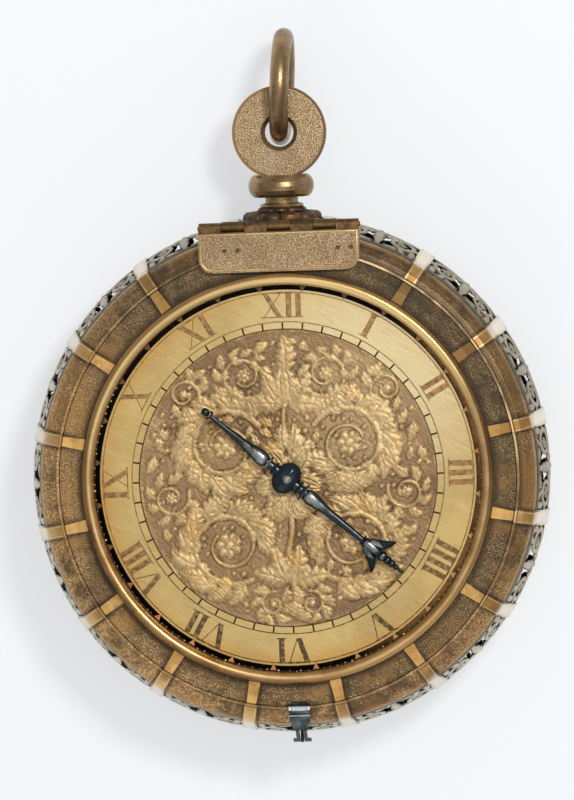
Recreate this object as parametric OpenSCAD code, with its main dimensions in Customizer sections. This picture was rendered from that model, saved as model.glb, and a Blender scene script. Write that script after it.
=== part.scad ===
// Round neck clock in a pierced brass case, with one hour hand and a striking movement.
// It lies on its back: +Z comes out of the dial, +Y points to twelve o'clock,
// and the origin is the middle of the flat back. Millimetres and degrees.

/* [Case] */
// Radius of the case, where the band meets the two rims
case_r = 49.8; // [44:0.1:56]
// How far the pierced band swells out at its mid height
band_bulge = 2.2; // [1.8:0.1:2.4]
// Thickness of the band
band_wall = 0.8; // [0.6:0.1:1.2]
// Height at which the pierced band begins
band_low = 6.2; // [5.8:0.1:6.8]
// Height of the pierced band
band_height = 19.2; // [18:0.1:22]
// Width of the rounded edge around the flat back
back_curve = 5.4; // [4.8:0.1:6]
// Thickness of the back
back_wall = 1.0; // [0.8:0.1:1.2]
// Radius of the two winding holes
key_hole_r = 3.0; // [2.6:0.1:3.4]
// Thickness of the rim that the cover shuts on
rim_height = 1.2; // [1:0.1:1.4]
// How far the two rims stay inside the case's radius
rim_inset = 0.4; // [0.2:0.1:0.6]
// Number of ribs, which are also the straps on the cover
rib_count = 16; // [12:4:20]
// Width of a rib on the side of the case
rib_width = 3.2; // [2.6:0.1:3.6]
// How far a rib stands out of the band
rib_proud = 0.3; // [0.2:0.05:0.4]
// Radius of the four large holes in each panel of the band
piercing_r = 2.4; // [1.8:0.1:2.4]

/* [Cover] */
// How far the cover's edge stays inside the case's radius
cover_inset = 0.2; // [0.1:0.05:0.4]
// Gap between the shut cover and the rim below it
cover_gap = 0.1; // [0.05:0.05:0.15]
// Height of the cover's flat zone above its lower edge
cover_rise = 2.75; // [2.5:0.05:3.1]
// Thickness of the cover
cover_wall = 0.9; // [0.8:0.1:1]
// Width of the cover's outer zone, from the edge to the raised line
outer_zone_w = 3.65; // [3.4:0.05:4.1]
// Width of the cover, from its edge to the bezel's bead
flange_w = 9.7; // [8.6:0.1:10.8]
// How far a strap stands out of the cover
strap_proud = 0.4; // [0.3:0.1:0.5]
// Width of a strap at the bezel
strap_in = 2.3; // [2:0.1:2.6]
// Width of a strap just inside the raised line
strap_mid = 1.9; // [1.6:0.1:2.2]
// Width of a strap at the cover's edge
strap_out = 3.2; // [2.7:0.1:3.5]
// Radius of the wire of the bezel's bead
bead_wire_r = 1.15; // [1:0.05:1.3]
// Width of the bezel inside the middle of its bead
bezel_lip = 1.1; // [1:0.05:1.25]
// Number of small teeth around the inside of the bezel
prong_count = 28; // [20:1:36]
// How far a tooth reaches in
prong_reach = 1.3; // [1:0.1:1.5]

/* [Hinge] */
// Width of the hinge and its plate
hinge_w = 32; // [28:0.5:36]
// Number of knuckles
knuckle_count = 7; // [5:2:9]
// How far the hinge pin stands outside the case's radius
hinge_out = 0.4; // [0.35:0.05:0.5]
// Radius of a knuckle
knuckle_r = 1.1; // [1:0.05:1.15]
// Radius of the hinge pin
hinge_pin_r = 0.45; // [0.4:0.05:0.5]
// Running clearance of the pins and arbors
run_gap = 0.04; // [0.03:0.01:0.06]
// Depth of the hinge plate, along the dial
hinge_plate_d = 8.0; // [7.4:0.1:8.3]
// Radius of the plate's two rounded corners
hinge_corner_r = 2.8; // [2:0.1:3.2]
// How far the rivets stand to the right of the plate's middle
rivet_shift = 1.8; // [0:0.1:2]

/* [Catch] */
// Width of the steel catch
catch_w = 4.2; // [3.8:0.1:4.8]
// Distance of the catch's pin from the cover's edge
catch_in = 4.3; // [4.2:0.1:4.5]
// Radius of the catch's pin
catch_pin_r = 0.35; // [0.3:0.05:0.4]
// Gap between the two legs of the catch
fork_gap = 0.8; // [0.7:0.05:0.9]
// Thickness of a leg
leg_w = 0.7; // [0.6:0.05:0.8]
// Clearance of the stud that the two legs grip
fork_gap_side = 0.08; // [0.05:0.01:0.12]
// How far the catch stands to the right of six o'clock
catch_x = 0.75; // [0:0.05:1]

/* [Pendant] */
// Height of the leafy base above the band
base_h = 1.4; // [1.35:0.05:1.7]
// Radius of the leafy base of the pendant
base_r = 8.0; // [7:0.1:9]
// Radius of the pendant's neck
neck_r = 3.3; // [2.8:0.1:3.7]
// Length of the neck, from the base to the collar
neck_len = 2.3; // [2:0.1:3]
// Radius of the collar under the eye
collar_r = 6.6; // [5.8:0.1:7.4]
// Thickness of the collar
collar_t = 4.4; // [3.8:0.1:5]
// Radius of the flat eye
eye_r = 9.4; // [8.6:0.1:10.4]
// Thickness of the eye
eye_t = 3.2; // [2.8:0.1:3.6]
// Radius of the hole in the eye
eye_hole_r = 2.9; // [2.8:0.05:3.2]
// Chamfer of the hole in the eye
eye_chamfer = 0.8; // [0.7:0.05:1]
// Radius of the loose ring, to the middle of its wire
ring_r = 9.9; // [9:0.05:11]
// Radius of the ring's wire
ring_wire_r = 1.9; // [1.7:0.05:1.95]
// Gap between the ring and the surface that the clock lies on
ring_gap = 0.1; // [0.1:0.05:0.3]
// How far the loose ring leans to the right, in degrees
ring_lean = 4; // [0:0.5:6]
// Radius of the stem's tail, which passes through the band
tail_r = 1.6; // [1.3:0.1:1.9]

/* [Dial] */
// Gap between the dial and the inside of the bezel
dial_gap = 1.2; // [1:0.1:1.4]
// Height of the hour ring's top above the cover's lower edge
dial_rise = 1.4; // [1.3:0.05:1.45]
// Width of the hour ring
chapter_w = 7.9; // [7.6:0.1:8.8]
// Thickness of the hour ring
chapter_t = 0.4; // [0.35:0.05:0.5]
// Thickness of the plate under the hour ring
dial_plate_t = 0.8; // [0.7:0.05:0.9]
// Depth of the engraving
engrave = 0.12; // [0.08:0.02:0.2]
// Width of the ring of quarter-hour marks
quarter_w = 1.5; // [1.2:0.1:1.7]
// Distance from the quarter-hour marks to the foot of the numerals
numeral_gap = 0.9; // [0.6:0.1:1]
// Height of the numerals
numeral_h = 4.8; // [4.4:0.1:4.9]
// Width of a thick stroke of a numeral
stroke_w = 1.1; // [0.9:0.05:1.2]
// Width of a thin line of the engraving
hair_w = 0.22; // [0.18:0.02:0.3]
// Width of a quarter-hour mark
mark_w = 0.34; // [0.28:0.02:0.4]

/* [Hand] */
// How far the hand's tip passes the inner edge of the hour ring
hand_over = 0.1; // [0:0.1:0.6]
// Length of the hand's tail
hand_tail = 21.8; // [19:0.1:23.5]
// Hour that the hand points at, in hours after twelve
hand_hour = 4.37; // [0:0.01:12]
// Height of the middle of the hand above the hour ring
hand_lift = 2.2; // [2:0.05:2.5]
// Width of the hand's round middle
boss_w = 6.9; // [6.4:0.1:7.6]

/* [Movement] */
// Gap between the case's radius and the edge of the back plate
plate_inset = 9.4; // [8.4:0.1:10.4]
// Thickness of a plate
plate_t = 1.5; // [1.3:0.1:1.7]
// Height of the underside of the back plate above the foot of the band
back_plate_up = 3.3; // [3.2:0.1:3.5]
// Depth of the underside of the front plate below the top of the band
front_plate_down = 2.6; // [2.4:0.1:2.7]
// Distance from the edge of the back plate to the pillars
pillar_in = 2.4; // [2:0.1:3]
// Radius of a pillar
pillar_r = 1.6; // [1.4:0.1:1.8]
// Radius of the arbors of the wheels
arbor_r = 0.5; // [0.45:0.05:0.6]
// Radius of the two winding arbors
winding_r = 0.92; // [0.9:0.02:1]
// Gap between the case's radius and the rim of the bell
bell_inset = 10.4; // [9.4:0.1:11.4]
// Height of the bell
bell_h = 7; // [6.4:0.1:7.2]
// Thickness of the bell
bell_wall = 0.8; // [0.7:0.1:0.9]
// Radius of the balance
balance_r = 9.5; // [8.6:0.1:9.8]

/* [Hidden] */

$fn = 64;
// Facets of the large cylinders that other pieces are cut to
fine = 256;

brass = [0.62, 0.47, 0.24];
dark_brass = [0.43, 0.32, 0.18];
gilt = [0.82, 0.66, 0.38];
silver = [0.62, 0.60, 0.55];
steel = [0.20, 0.22, 0.24];
bell_metal = [0.70, 0.60, 0.40];

// Heights
band_top = band_low + band_height;
band_mid = band_low + band_height / 2;
rim_top = band_top + rim_height;
cover_low = rim_top + cover_gap;
zone_z = cover_low + cover_rise;
plate_top = zone_z + 1.5;
hinge_z = cover_low + 1.3;
catch_z = zone_z + 1.5;
dial_top = cover_low + dial_rise;
dial_plate_z = dial_top - chapter_t - dial_plate_t;
hand_z = dial_top + hand_lift;
back_plate_z = band_low + back_plate_up;
back_top = back_plate_z + plate_t;
front_plate_z = band_top - front_plate_down;
front_top = front_plate_z + plate_t;
// The winding squares stop this far above the back, clear of the key holes
key_square = 1.3;
square_z = back_wall + 1.2;

// Radii, from the case inwards
band_r = case_r + band_bulge;
rim_r = case_r - rim_inset;
back_flat_r = rim_r - back_curve;
back_plate_r = case_r - plate_inset;
front_plate_r = back_plate_r + 3.4;
pillar_at = back_plate_r - pillar_in;
bell_r = case_r - bell_inset;
cover_r = case_r - cover_inset;
ridge_r = cover_r - outer_zone_w;
bezel_r = cover_r - flange_w;
bezel_in_r = bezel_r - bezel_lip;
cover_in = bezel_in_r + 1.5;
dial_r = bezel_in_r - dial_gap;
chapter_in = dial_r - chapter_w;
quarter_r = chapter_in + quarter_w;
numeral_in = quarter_r + numeral_gap;
numeral_out = numeral_in + numeral_h;
hand_length = chapter_in + hand_over;
hinge_y = case_r + hinge_out;
catch_y = catch_in - cover_r;
knuckle_w = hinge_w / knuckle_count;
hinge_relief = knuckle_r + 0.2;

// Trains: tooth counts and modules
hour_teeth = 36;
report_leaves = 8;
motion_m = 0.5;
great_teeth = 64;
great_m = 0.4;
second_teeth = 56;
second_m = 0.35;
contrate_teeth = 48;
strike_teeth = 56;
strike_m = 0.45;
strike_second_teeth = 48;
strike_second_m = 0.4;
count_teeth = 40;
train_leaves = 8;
second_leaves = 7;
fly_leaves = 6;
crown_leaves = 6;
crown_teeth = 15;

// Places of the arbors, each set off from the one that drives it
function toward(a) = [cos(a), sin(a)];
function pair(n1, n2, m) = (n1 + n2) * m / 2;
great_dir = 210;
great_at = pair(hour_teeth, report_leaves, motion_m) * toward(great_dir);
second_dir = 150;
second_at = great_at + pair(great_teeth, train_leaves, great_m) * toward(second_dir);
contrate_dir = 90;
contrate_at = second_at + pair(second_teeth, second_leaves, second_m) * toward(contrate_dir);
strike_at = [18, -9];
strike_second_dir = 60;
strike_second_at = strike_at + pair(strike_teeth, train_leaves, strike_m) * toward(strike_second_dir);
fly_dir = 120;
fly_at = strike_second_at + pair(strike_second_teeth, fly_leaves, strike_second_m) * toward(fly_dir);
count_dir = 250;
count_at = strike_at + pair(count_teeth, report_leaves, motion_m) * toward(count_dir);
hammer_dir = -75;
hammer_from = 16.5;
hammer_at = strike_at + hammer_from * toward(hammer_dir);

// Heights of the wheels
wheel_t = 1.2;
great_z = back_top + 1;
upper_z = front_plate_z - 2.6;
spring_z = great_z + wheel_t + 1;
spring_h = upper_z - 0.8 - spring_z;
spring_r = 11.4;
motion_z = front_top + 0.4;
motion_t = 1.0;
contrate_rim = 8.4;
crown_z = (back_top + front_plate_z) / 2 - 1.2;
contrate_z = crown_z + 2.3;
crown_disc_x = contrate_at[0] + 17.5;
crown_tip_x = crown_disc_x + 2.1;
crown_r = 4.0;
verge_x = crown_tip_x + 2.2;
pallet_reach = 1.9;
cock_t = 1.0;
balance_t = 0.8;
balance_z = back_plate_z - 2.3 - balance_t;
cock_z = balance_z - 0.8 - cock_t;

// Radius of the outside of the band at height z
function band_at(z) = band_r - band_bulge * pow((z - band_mid) / (band_height / 2), 2);
band_steps = 4;
function band_line(z0, z1, out) =
    [for (i = [0:band_steps]) let (z = z0 + (z1 - z0) * i / band_steps) [band_at(z) + out, z]];
// The same radius on the band's straight facets, less its wall
band_facets = [for (p = band_line(band_low, band_top, -band_wall)) [p[1], p[0]]];
function inside_band(z) = lookup(z, band_facets);
function back(list) = [for (i = [len(list) - 1:-1:0]) list[i]];

// Top surface of the cover, from its edge to the bezel
cover_line = [[cover_r, cover_low + 0.4], [cover_r - 0.4, cover_low + 1.2],
    [cover_r - 1.2, cover_low + 2.0], [cover_r - 2.2, cover_low + 2.6], [ridge_r + 0.45, zone_z + 0.2],
    [ridge_r + 0.25, zone_z + 0.5], [ridge_r - 0.25, zone_z + 0.5], [ridge_r - 0.45, zone_z + 0.15],
    [ridge_r - 2.5, zone_z], [cover_in, zone_z + 0.15]];

// Everything inside the outer face of the band
module band_body() {
    rotate_extrude($fn = fine)
        polygon(concat([[0, band_low]], band_line(band_low, band_top, 0), [[0, band_top]]));
}

// Everything below the top of the cover
module cover_body() {
    rotate_extrude() polygon(concat([[0, back_top], [cover_r, back_top]], cover_line, [[0, zone_z + 0.15]]));
}

// A turned piece standing along +Y at the height of the band's middle
module along_y() {
    translate([0, 0, band_mid]) rotate([-90, 0, 0]) children();
}

// A cylinder along X, from x0 to x1
module rod_x(r, x0, x1) {
    translate([x0, 0, 0]) rotate([0, 90, 0]) cylinder(r = r, h = x1 - x0);
}

// Corner points of a gear, with a tooth in the direction phase
function ray(r, a) = [r * cos(a), r * sin(a)];
function gear_line(n, m, tip, root, wt, wp, wr, phase) = [for (i = [0:n - 1]) let (
        a = phase + i * 360 / n,
        h = 180 / n,
        r = n * m / 2)
    each [ray(r - root * m, a - wr * h), ray(r, a - wp * h), ray(r + tip * m, a - wt * h),
        ray(r + tip * m, a + wt * h), ray(r, a + wp * h), ray(r - root * m, a + wr * h)]];
module wheel_2d(n, m, phase) {
    polygon(gear_line(n, m, 0.7, 1.25, 0.14, 0.32, 0.45, phase));
}
module pinion_2d(n, m, phase) {
    polygon(gear_line(n, m, 0.6, 1.2, 0.14, 0.3, 0.4, phase));
}

// A train wheel with four spokes and a hole for its arbor
module wheel(n, m, phase, z, t, hole) {
    rim = n * m / 2 - 1.25 * m - 1.1;
    hub = hole + 1.1;
    translate([0, 0, z]) difference() {
        linear_extrude(t) wheel_2d(n, m, phase);
        translate([0, 0, -1]) linear_extrude(t + 2) for (q = [0:3]) rotate(q * 90 + phase) {
            difference() {
                intersection() {
                    circle(r = rim);
                    translate([0.6, 0.6]) square(rim);
                }
                circle(r = hub);
            }
        }
        translate([0, 0, -1]) cylinder(r = hole, h = t + 2);
    }
}

// An arbor with its pinion, between the two plates
module pinion_arbor(n, m, phase, z, h) {
    translate([0, 0, back_plate_z + 0.3]) cylinder(r = arbor_r, h = front_top - back_plate_z - 0.6);
    translate([0, 0, z]) linear_extrude(h) pinion_2d(n, m, phase);
}

// Case

panel_w = 2 * PI * case_r / rib_count;
module case_band() {
    color(silver) difference() {
        rotate_extrude() polygon(concat(band_line(band_low, band_top, 0),
            back(band_line(band_low, band_top, -band_wall))));
        for (i = [0:rib_count - 1]) rotate([0, 0, i * 360 / rib_count])
            translate([case_r - 3, 0, band_mid]) rotate([0, 90, 0]) piercings(i == rib_count / 4);
    }
}
// Holes of one panel; the one behind the pendant only lets its tail through
module piercings(behind_pendant) {
    side = panel_w * 0.235;
    if (behind_pendant) cylinder(r = tail_r, h = 6);
    else {
        for (x = [-side, side], y = [-4.7, 4.7]) translate([x, y, 0]) cylinder(r = piercing_r, h = 6);
        for (x = [-side - 3.1, side + 3.1]) translate([x, 0, 0]) cylinder(r = 1.1, h = 6);
        for (y = [-7.3, 7.3]) translate([0, y, 0]) cylinder(r = 1.0, h = 6);
    }
}

module ring(r_out, r_in, z, h) {
    translate([0, 0, z]) difference() {
        cylinder(r = r_out, h = h);
        translate([0, 0, -1]) cylinder(r = r_in, h = h + 2);
    }
}

module front_rim() {
    color(brass) ring(rim_r, case_r - 3, band_top, rim_height);
}

module back_rim() {
    color(brass) ring(rim_r, case_r - 2.4, band_low - rim_height, rim_height);
}

// Each rib lies on the band, and its two ends on the rims
module side_ribs() {
    rib_turn = rib_width / band_r * 180 / PI;
    rib_z0 = band_low - rim_height;
    rib_z1 = rim_top - 0.1;
    inner = concat([[rim_r, rib_z0], [rim_r, band_low]], band_line(band_low, band_top, 0),
        [[rim_r, band_top], [rim_r, rib_z1]]);
    outer = concat([[rim_r + rib_proud, rib_z0]], band_line(band_low, band_top, rib_proud),
        [[rim_r + rib_proud, rib_z1]]);
    color(brass) for (i = [0:rib_count - 1]) rotate([0, 0, (i + 0.5) * 360 / rib_count - rib_turn / 2])
        rotate_extrude(angle = rib_turn) polygon(concat(outer, back(inner)));
}

module case_back() {
    rise = band_low - rim_height;
    color(brass) difference() {
        rotate_extrude() polygon([[0, 0], [back_flat_r, 0], [back_flat_r + 2.6, 0.5],
            [rim_r - 1, 1.9], [rim_r - 0.2, 3.6], [rim_r, rise], [rim_r - 1, rise], [rim_r - 1.3, 3.9],
            [rim_r - 2.1, 2.4], [back_flat_r + 1.8, back_wall + 0.4], [back_flat_r - 0.4, back_wall],
            [0, back_wall]]);
        for (p = [great_at, strike_at]) translate([p[0], p[1], -1]) cylinder(r = key_hole_r, h = 4);
        translate([0, 0, back_wall / 2]) cylinder(r = bell_stud_r, h = back_wall);
    }
}

// Ledge in the case that carries the front plate
ledge_t = 1.2;
ledge_in = back_plate_r + 0.4;
module inner_ledge() {
    z0 = front_plate_z - ledge_t;
    color(dark_brass) difference() {
        rotate_extrude() polygon([[ledge_in, z0], [inside_band(z0), z0],
            [inside_band(front_plate_z), front_plate_z], [ledge_in, front_plate_z]]);
        screw_holes(z0 - 1);
    }
}

// Three screws that hold the movement down on the ledge
screw_at = ledge_in + 1.7;
screw_r = 0.5;
module around_screws() {
    for (a = [90, 205, 335]) rotate([0, 0, a]) translate([screw_at, 0, 0]) children();
}
module screw_holes(z) {
    around_screws() translate([0, 0, z]) cylinder(r = screw_r, h = 4);
}
module ledge_screws() {
    color(steel) around_screws() {
        translate([0, 0, front_plate_z - ledge_t]) cylinder(r = screw_r, h = plate_t + ledge_t);
        translate([0, 0, front_top]) difference() {
            cylinder(r = 1.3, h = 0.7);
            translate([-2, -0.15, 0.4]) cube([4, 0.3, 1]);
        }
    }
}

// Bell in the back of the case
bell_stud_r = 1.0;
bell_z = back_wall + 0.6;
module bell() {
    w = bell_wall;
    color(bell_metal) difference() {
        rotate_extrude() polygon([[bell_stud_r, bell_z], [bell_r - 9.4, bell_z], [bell_r - 5.4, bell_z + 0.9],
            [bell_r - 2.6, bell_z + 2.6], [bell_r - 0.8, bell_z + 4.8], [bell_r, bell_z + bell_h],
            [bell_r - w, bell_z + bell_h], [bell_r - 0.8 - w, bell_z + 5.1], [bell_r - 2.6 - w, bell_z + 3.1],
            [bell_r - 5.4 - w / 2, bell_z + w + 0.9], [bell_r - 9.4, bell_z + w], [bell_stud_r, bell_z + w]]);
        for (p = [great_at, strike_at]) translate([p[0], p[1], 0]) cylinder(r = key_hole_r + 0.4, h = 9);
    }
}
module bell_stud() {
    color(steel) {
        translate([0, 0, back_wall / 2])
            cylinder(r = bell_stud_r, h = bell_z + bell_wall + 1.4 - back_wall / 2);
        ring(2.2, bell_stud_r, back_wall, bell_z - back_wall);
    }
}
module bell_nut() {
    color(steel) translate([0, 0, bell_z + bell_wall]) difference() {
        cylinder(r = 2.1, h = 1.2, $fn = 6);
        translate([0, 0, -1]) cylinder(r = bell_stud_r, h = 4);
    }
}

// Pendant
stem_y = band_r + base_h;
collar_y = stem_y + neck_len + collar_t / 2;
eye_foot = collar_y + collar_t / 2;
eye_y = eye_foot + eye_r - 0.9;

module pendant_base() {
    color(dark_brass) difference() {
        along_y() rotate([0, 0, 11]) rotate_extrude() polygon([[tail_r, case_r - 0.8], [base_r, case_r - 0.8],
            [base_r, band_r + 0.1], [base_r - 0.5, band_r + 0.6], [base_r - 1.5, band_r + 0.8],
            [base_r - 2.4, band_r + 1.1], [neck_r + 1, stem_y], [tail_r, stem_y]]);
        band_body();
    }
}
module pendant_stem() {
    arc = [for (a = [-60:20:60])
        [collar_r - collar_t / 2 * (1 - cos(a)), collar_y + collar_t / 2 * sin(a) / sin(60)]];
    color(brass) along_y() rotate_extrude() polygon(concat([[0, case_r - 4], [tail_r, case_r - 4],
        [tail_r, stem_y], [neck_r + 0.9, stem_y], [neck_r + 1.1, stem_y + 0.45], [neck_r + 0.9, stem_y + 0.9],
        [neck_r, stem_y + 1.1], [neck_r, collar_y - collar_t / 2]], arc, [[0, eye_foot]]));
}
module pendant_nut() {
    color(steel) along_y() difference() {
        translate([0, 0, band_r - band_wall - 2.4]) cylinder(r = 3, h = 2, $fn = 6);
        translate([0, 0, case_r - 10]) cylinder(r = tail_r, h = 12);
    }
}
module pendant_eye() {
    color(brass) difference() {
        translate([0, eye_y, band_mid - eye_t / 2]) cylinder(r = eye_r, h = eye_t);
        translate([0, eye_y, band_mid - eye_t]) cylinder(r = eye_hole_r, h = 2 * eye_t);
        for (s = [0, 1]) translate([0, eye_y, band_mid]) mirror([0, 0, s])
            translate([0, 0, eye_t / 2 - eye_chamfer])
                cylinder(r1 = eye_hole_r, r2 = eye_hole_r + 2 * eye_chamfer, h = 2 * eye_chamfer);
        translate([-eye_r - 1, eye_foot - 5, 0]) cube([2 * eye_r + 2, 5, 2 * band_mid]);
    }
}

// The ring hangs through the eye and lies down until it nearly meets the table
ring_drop = band_mid - ring_r - ring_wire_r - ring_gap;
module pendant_ring() {
    out = sqrt(ring_r * ring_r - ring_drop * ring_drop);
    color(dark_brass) translate([0, eye_y, band_mid - ring_drop]) rotate([0, 0, -ring_lean])
        translate([0, out, 0]) rotate([0, 90, 0])
        rotate_extrude() translate([ring_r, 0]) circle(r = ring_wire_r, $fn = 32);
}

// Hinge

module case_hinge_leaf() {
    half = hinge_w / 2 - knuckle_w;
    tongue = half - 3.6;
    color(brass) difference() {
        union() {
            difference() {
                union() {
                    translate([-half, case_r + 0.1, rim_top + 0.05])
                        cube([2 * half, 1.5, hinge_z - rim_top - 0.05]);
                    translate([-tongue, case_r - 0.6, band_top - 1.1])
                        cube([2 * tongue, 2.2, hinge_z - band_top]);
                }
                band_body();
                translate([0, 0, band_top]) cylinder(r = case_r + 0.05, h = rim_height + 0.05, $fn = fine);
                cylinder(r = cover_r + 0.3, h = 2 * cover_low, $fn = fine);
                for (i = [0:2:knuckle_count - 1]) translate([0, hinge_y, hinge_z])
                    rod_x(hinge_relief, knuckle_x(i) - 0.1, knuckle_x(i + 1) + 0.1);
            }
            for (i = [1:2:knuckle_count - 1]) translate([0, hinge_y, hinge_z])
                rod_x(knuckle_r, knuckle_x(i) + 0.05, knuckle_x(i + 1) - 0.05);
        }
        translate([0, hinge_y, hinge_z]) rod_x(hinge_pin_r + run_gap, -hinge_w, hinge_w);
    }
}
function knuckle_x(i) = -hinge_w / 2 + i * knuckle_w;

module hinge_pin() {
    color(steel) translate([0, hinge_y, hinge_z]) rod_x(hinge_pin_r, -hinge_w / 2 - 0.2, hinge_w / 2 + 0.2);
}

// Cover

module cover_flange() {
    color(dark_brass) difference() {
        rotate_extrude() polygon(concat([[cover_r - 1.4, cover_low], [cover_r, cover_low]], cover_line,
            [[cover_in, zone_z - cover_wall], [ridge_r - 1, zone_z - cover_wall],
            [cover_r - 1.9, cover_low + 1.4]]));
        translate([0, hinge_y, hinge_z]) rod_x(hinge_relief, -hinge_w / 2 - 0.3, hinge_w / 2 + 0.3);
    }
}

strap_line = [for (p = cover_line)
    p + [p[0] > cover_r - 1 ? strap_proud : 0, p[0] > cover_r - 0.3 ? 0 : strap_proud]];
module strap_plan() {
    edge = cover_r + 1;
    half = [[cover_in + 0.9, strap_in / 2], [ridge_r - 0.3, strap_mid / 2], [ridge_r, strap_out / 2 - 0.3],
        [edge, strap_out / 2]];
    polygon(concat(half, back([for (p = half) [p[0], -p[1]]])));
}
module cover_straps() {
    color(brass) intersection() {
        rotate_extrude() polygon(concat([[cover_r, cover_low]], cover_line, back(strap_line),
            [[cover_r + strap_proud, cover_low]]));
        for (i = [0:rib_count - 1]) if (i != rib_count / 4 && i != rib_count / 4 - 1)
            rotate([0, 0, (i + 0.5) * 360 / rib_count]) translate([0, 0, cover_low - 1])
                linear_extrude(cover_rise + 4) strap_plan();
    }
}

module bezel_ring() {
    color(gilt) union() {
        rotate_extrude() polygon([[bezel_in_r, dial_top + 0.3], [bezel_in_r + 0.5, dial_top + 0.3],
            [cover_in, zone_z - cover_wall], [cover_in, zone_z + 0.4], [bezel_r + 0.2, bead_z],
            [bezel_in_r, bead_z]]);
        translate([0, 0, bead_z]) rotate_extrude() translate([bezel_r, 0]) circle(r = bead_wire_r, $fn = 32);
    }
}
bead_z = zone_z + 1.45;

module prong_ring() {
    prong_z = dial_top + 0.35;
    prong_t = 0.4;
    color(gilt) union() {
        ring(bezel_in_r, bezel_in_r - 0.2, prong_z, prong_t);
        for (i = [0:prong_count - 1]) rotate([0, 0, (i + 0.5) * 360 / prong_count])
            translate([bezel_in_r, 0, prong_z]) linear_extrude(prong_t)
                polygon([[-0.1, -0.75], [-prong_reach, -0.1], [-prong_reach, 0.1], [-0.1, 0.75]]);
    }
}

module hinge_plate() {
    y1 = hinge_y - 0.8;
    color(brass) difference() {
        union() {
            difference() {
                translate([0, 0, cover_low + 0.8]) linear_extrude(plate_top - cover_low - 0.8) hinge_plan(y1);
                cover_body();
                translate([0, hinge_y, hinge_z]) rod_x(hinge_relief, -hinge_w, hinge_w);
            }
            for (i = [0:2:knuckle_count - 1]) {
                translate([0, hinge_y, hinge_z])
                    rod_x(knuckle_r, knuckle_x(i) + 0.05, knuckle_x(i + 1) - 0.05);
                difference() {
                    translate([knuckle_x(i) + 0.05, y1 - 0.9, hinge_z]) cube([knuckle_w - 0.1, 1.7, 1.9]);
                    cover_body();
                }
            }
        }
        translate([0, hinge_y, hinge_z]) rod_x(hinge_pin_r + run_gap, -hinge_w, hinge_w);
        for (p = rivet_spots) translate([p[0], p[1], plate_top - 0.9]) cylinder(r = rivet_r, h = 2);
    }
}
module hinge_plan(y1) {
    c = hinge_corner_r;
    translate([-hinge_w / 2, y1 - hinge_plate_d + c]) square([hinge_w, hinge_plate_d - c]);
    translate([-hinge_w / 2 + c, y1 - hinge_plate_d]) square([hinge_w - 2 * c, c + 0.1]);
    for (s = [-1, 1]) translate([s * (hinge_w / 2 - c), y1 - hinge_plate_d + c]) circle(r = c);
}
rivet_r = 0.45;
rivet_spots = [for (s = [-1, 1], x = [hinge_w / 2 - 3.4, hinge_w / 2 - 6])
    [rivet_shift + s * x, hinge_y - 4.4]];
module hinge_rivets() {
    color(dark_brass) for (p = rivet_spots) translate([p[0], p[1], plate_top - 0.9])
        cylinder(r = rivet_r, h = 0.98);
}

// Catch: its fork slides down over a stud on the band

module catch_lugs() {
    ear = 0.5;
    color(steel) difference() {
        for (s = [-1, 1]) translate([catch_x + s * (catch_w / 2 - ear / 2) - ear / 2, catch_y - 0.9, zone_z - 1])
            cube([ear, 1.8, catch_z + 0.75 - zone_z + 1]);
        cover_body();
        translate([catch_x, catch_y, catch_z]) rod_x(catch_pin_r + run_gap, -catch_w, catch_w);
    }
}
module catch_pin() {
    color(steel) translate([catch_x, catch_y, catch_z]) rod_x(catch_pin_r, -catch_w / 2 - 0.1, catch_w / 2 + 0.1);
}
// Side view of the catch, as distances from its pin
catch_side = [[0.2, 0.85], [-3.2, -0.2], [-5.4, -2.4], [-7.9, -6.4], [-8.1, -7.2], [-7.3, -7.2],
    [-7.1, -6.6], [-4.8, -3.1], [-2.9, -1.05], [-1, -0.3], [0, 0.2]];
module catch_lever() {
    neck = catch_w - 1.2;
    leg_y = -5.2;
    color(steel) difference() {
        union() {
            intersection() {
                translate([catch_x - catch_w, catch_y, catch_z]) rotate([90, 0, 90]) linear_extrude(2 * catch_w)
                    polygon(catch_side);
                translate([catch_x, catch_y, 0]) linear_extrude(60) union() {
                    translate([-neck / 2, -1.2]) square([neck, 2.4]);
                    polygon([[-catch_w / 2, -1.1], [-catch_w / 2, -3], [-catch_w / 3, leg_y],
                        [catch_w / 3, leg_y], [catch_w / 2, -3], [catch_w / 2, -1.1]]);
                    for (s = [-1, 1]) {
                        translate([s * (fork_gap + leg_w) / 2 - leg_w / 2, -9])
                            square([leg_w, 9 + leg_y + 0.2]);
                        translate([s * (fork_gap / 2 + leg_w) - leg_w, -9]) square([2 * leg_w, 1.7]);
                    }
                }
            }
            translate([catch_x, catch_y, catch_z]) rod_x(0.85, -neck / 2, neck / 2);
        }
        translate([catch_x, catch_y, catch_z]) rod_x(catch_pin_r + run_gap, -catch_w, catch_w);
    }
}
module catch_stud() {
    stud_z = catch_z - 6.1;
    color(steel) difference() {
        translate([catch_x, catch_y - 8, stud_z]) rotate([-90, 0, 0])
            cylinder(r = fork_gap / 2 - fork_gap_side, h = 4);
        band_body();
    }
}

// Dial

module dial_plate() {
    color(gilt) ring(dial_r - 0.15, pipe_r + 0.5, dial_plate_z, dial_plate_t);
}
// Stroke from the foot of a numeral (y = 0) to its head
module numeral_stroke(x0, x1, w) {
    polygon([[x0 - w / 2, 0], [x0 + w / 2, 0], [x1 + w / 2, numeral_h], [x1 - w / 2, numeral_h]]);
}
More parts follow.
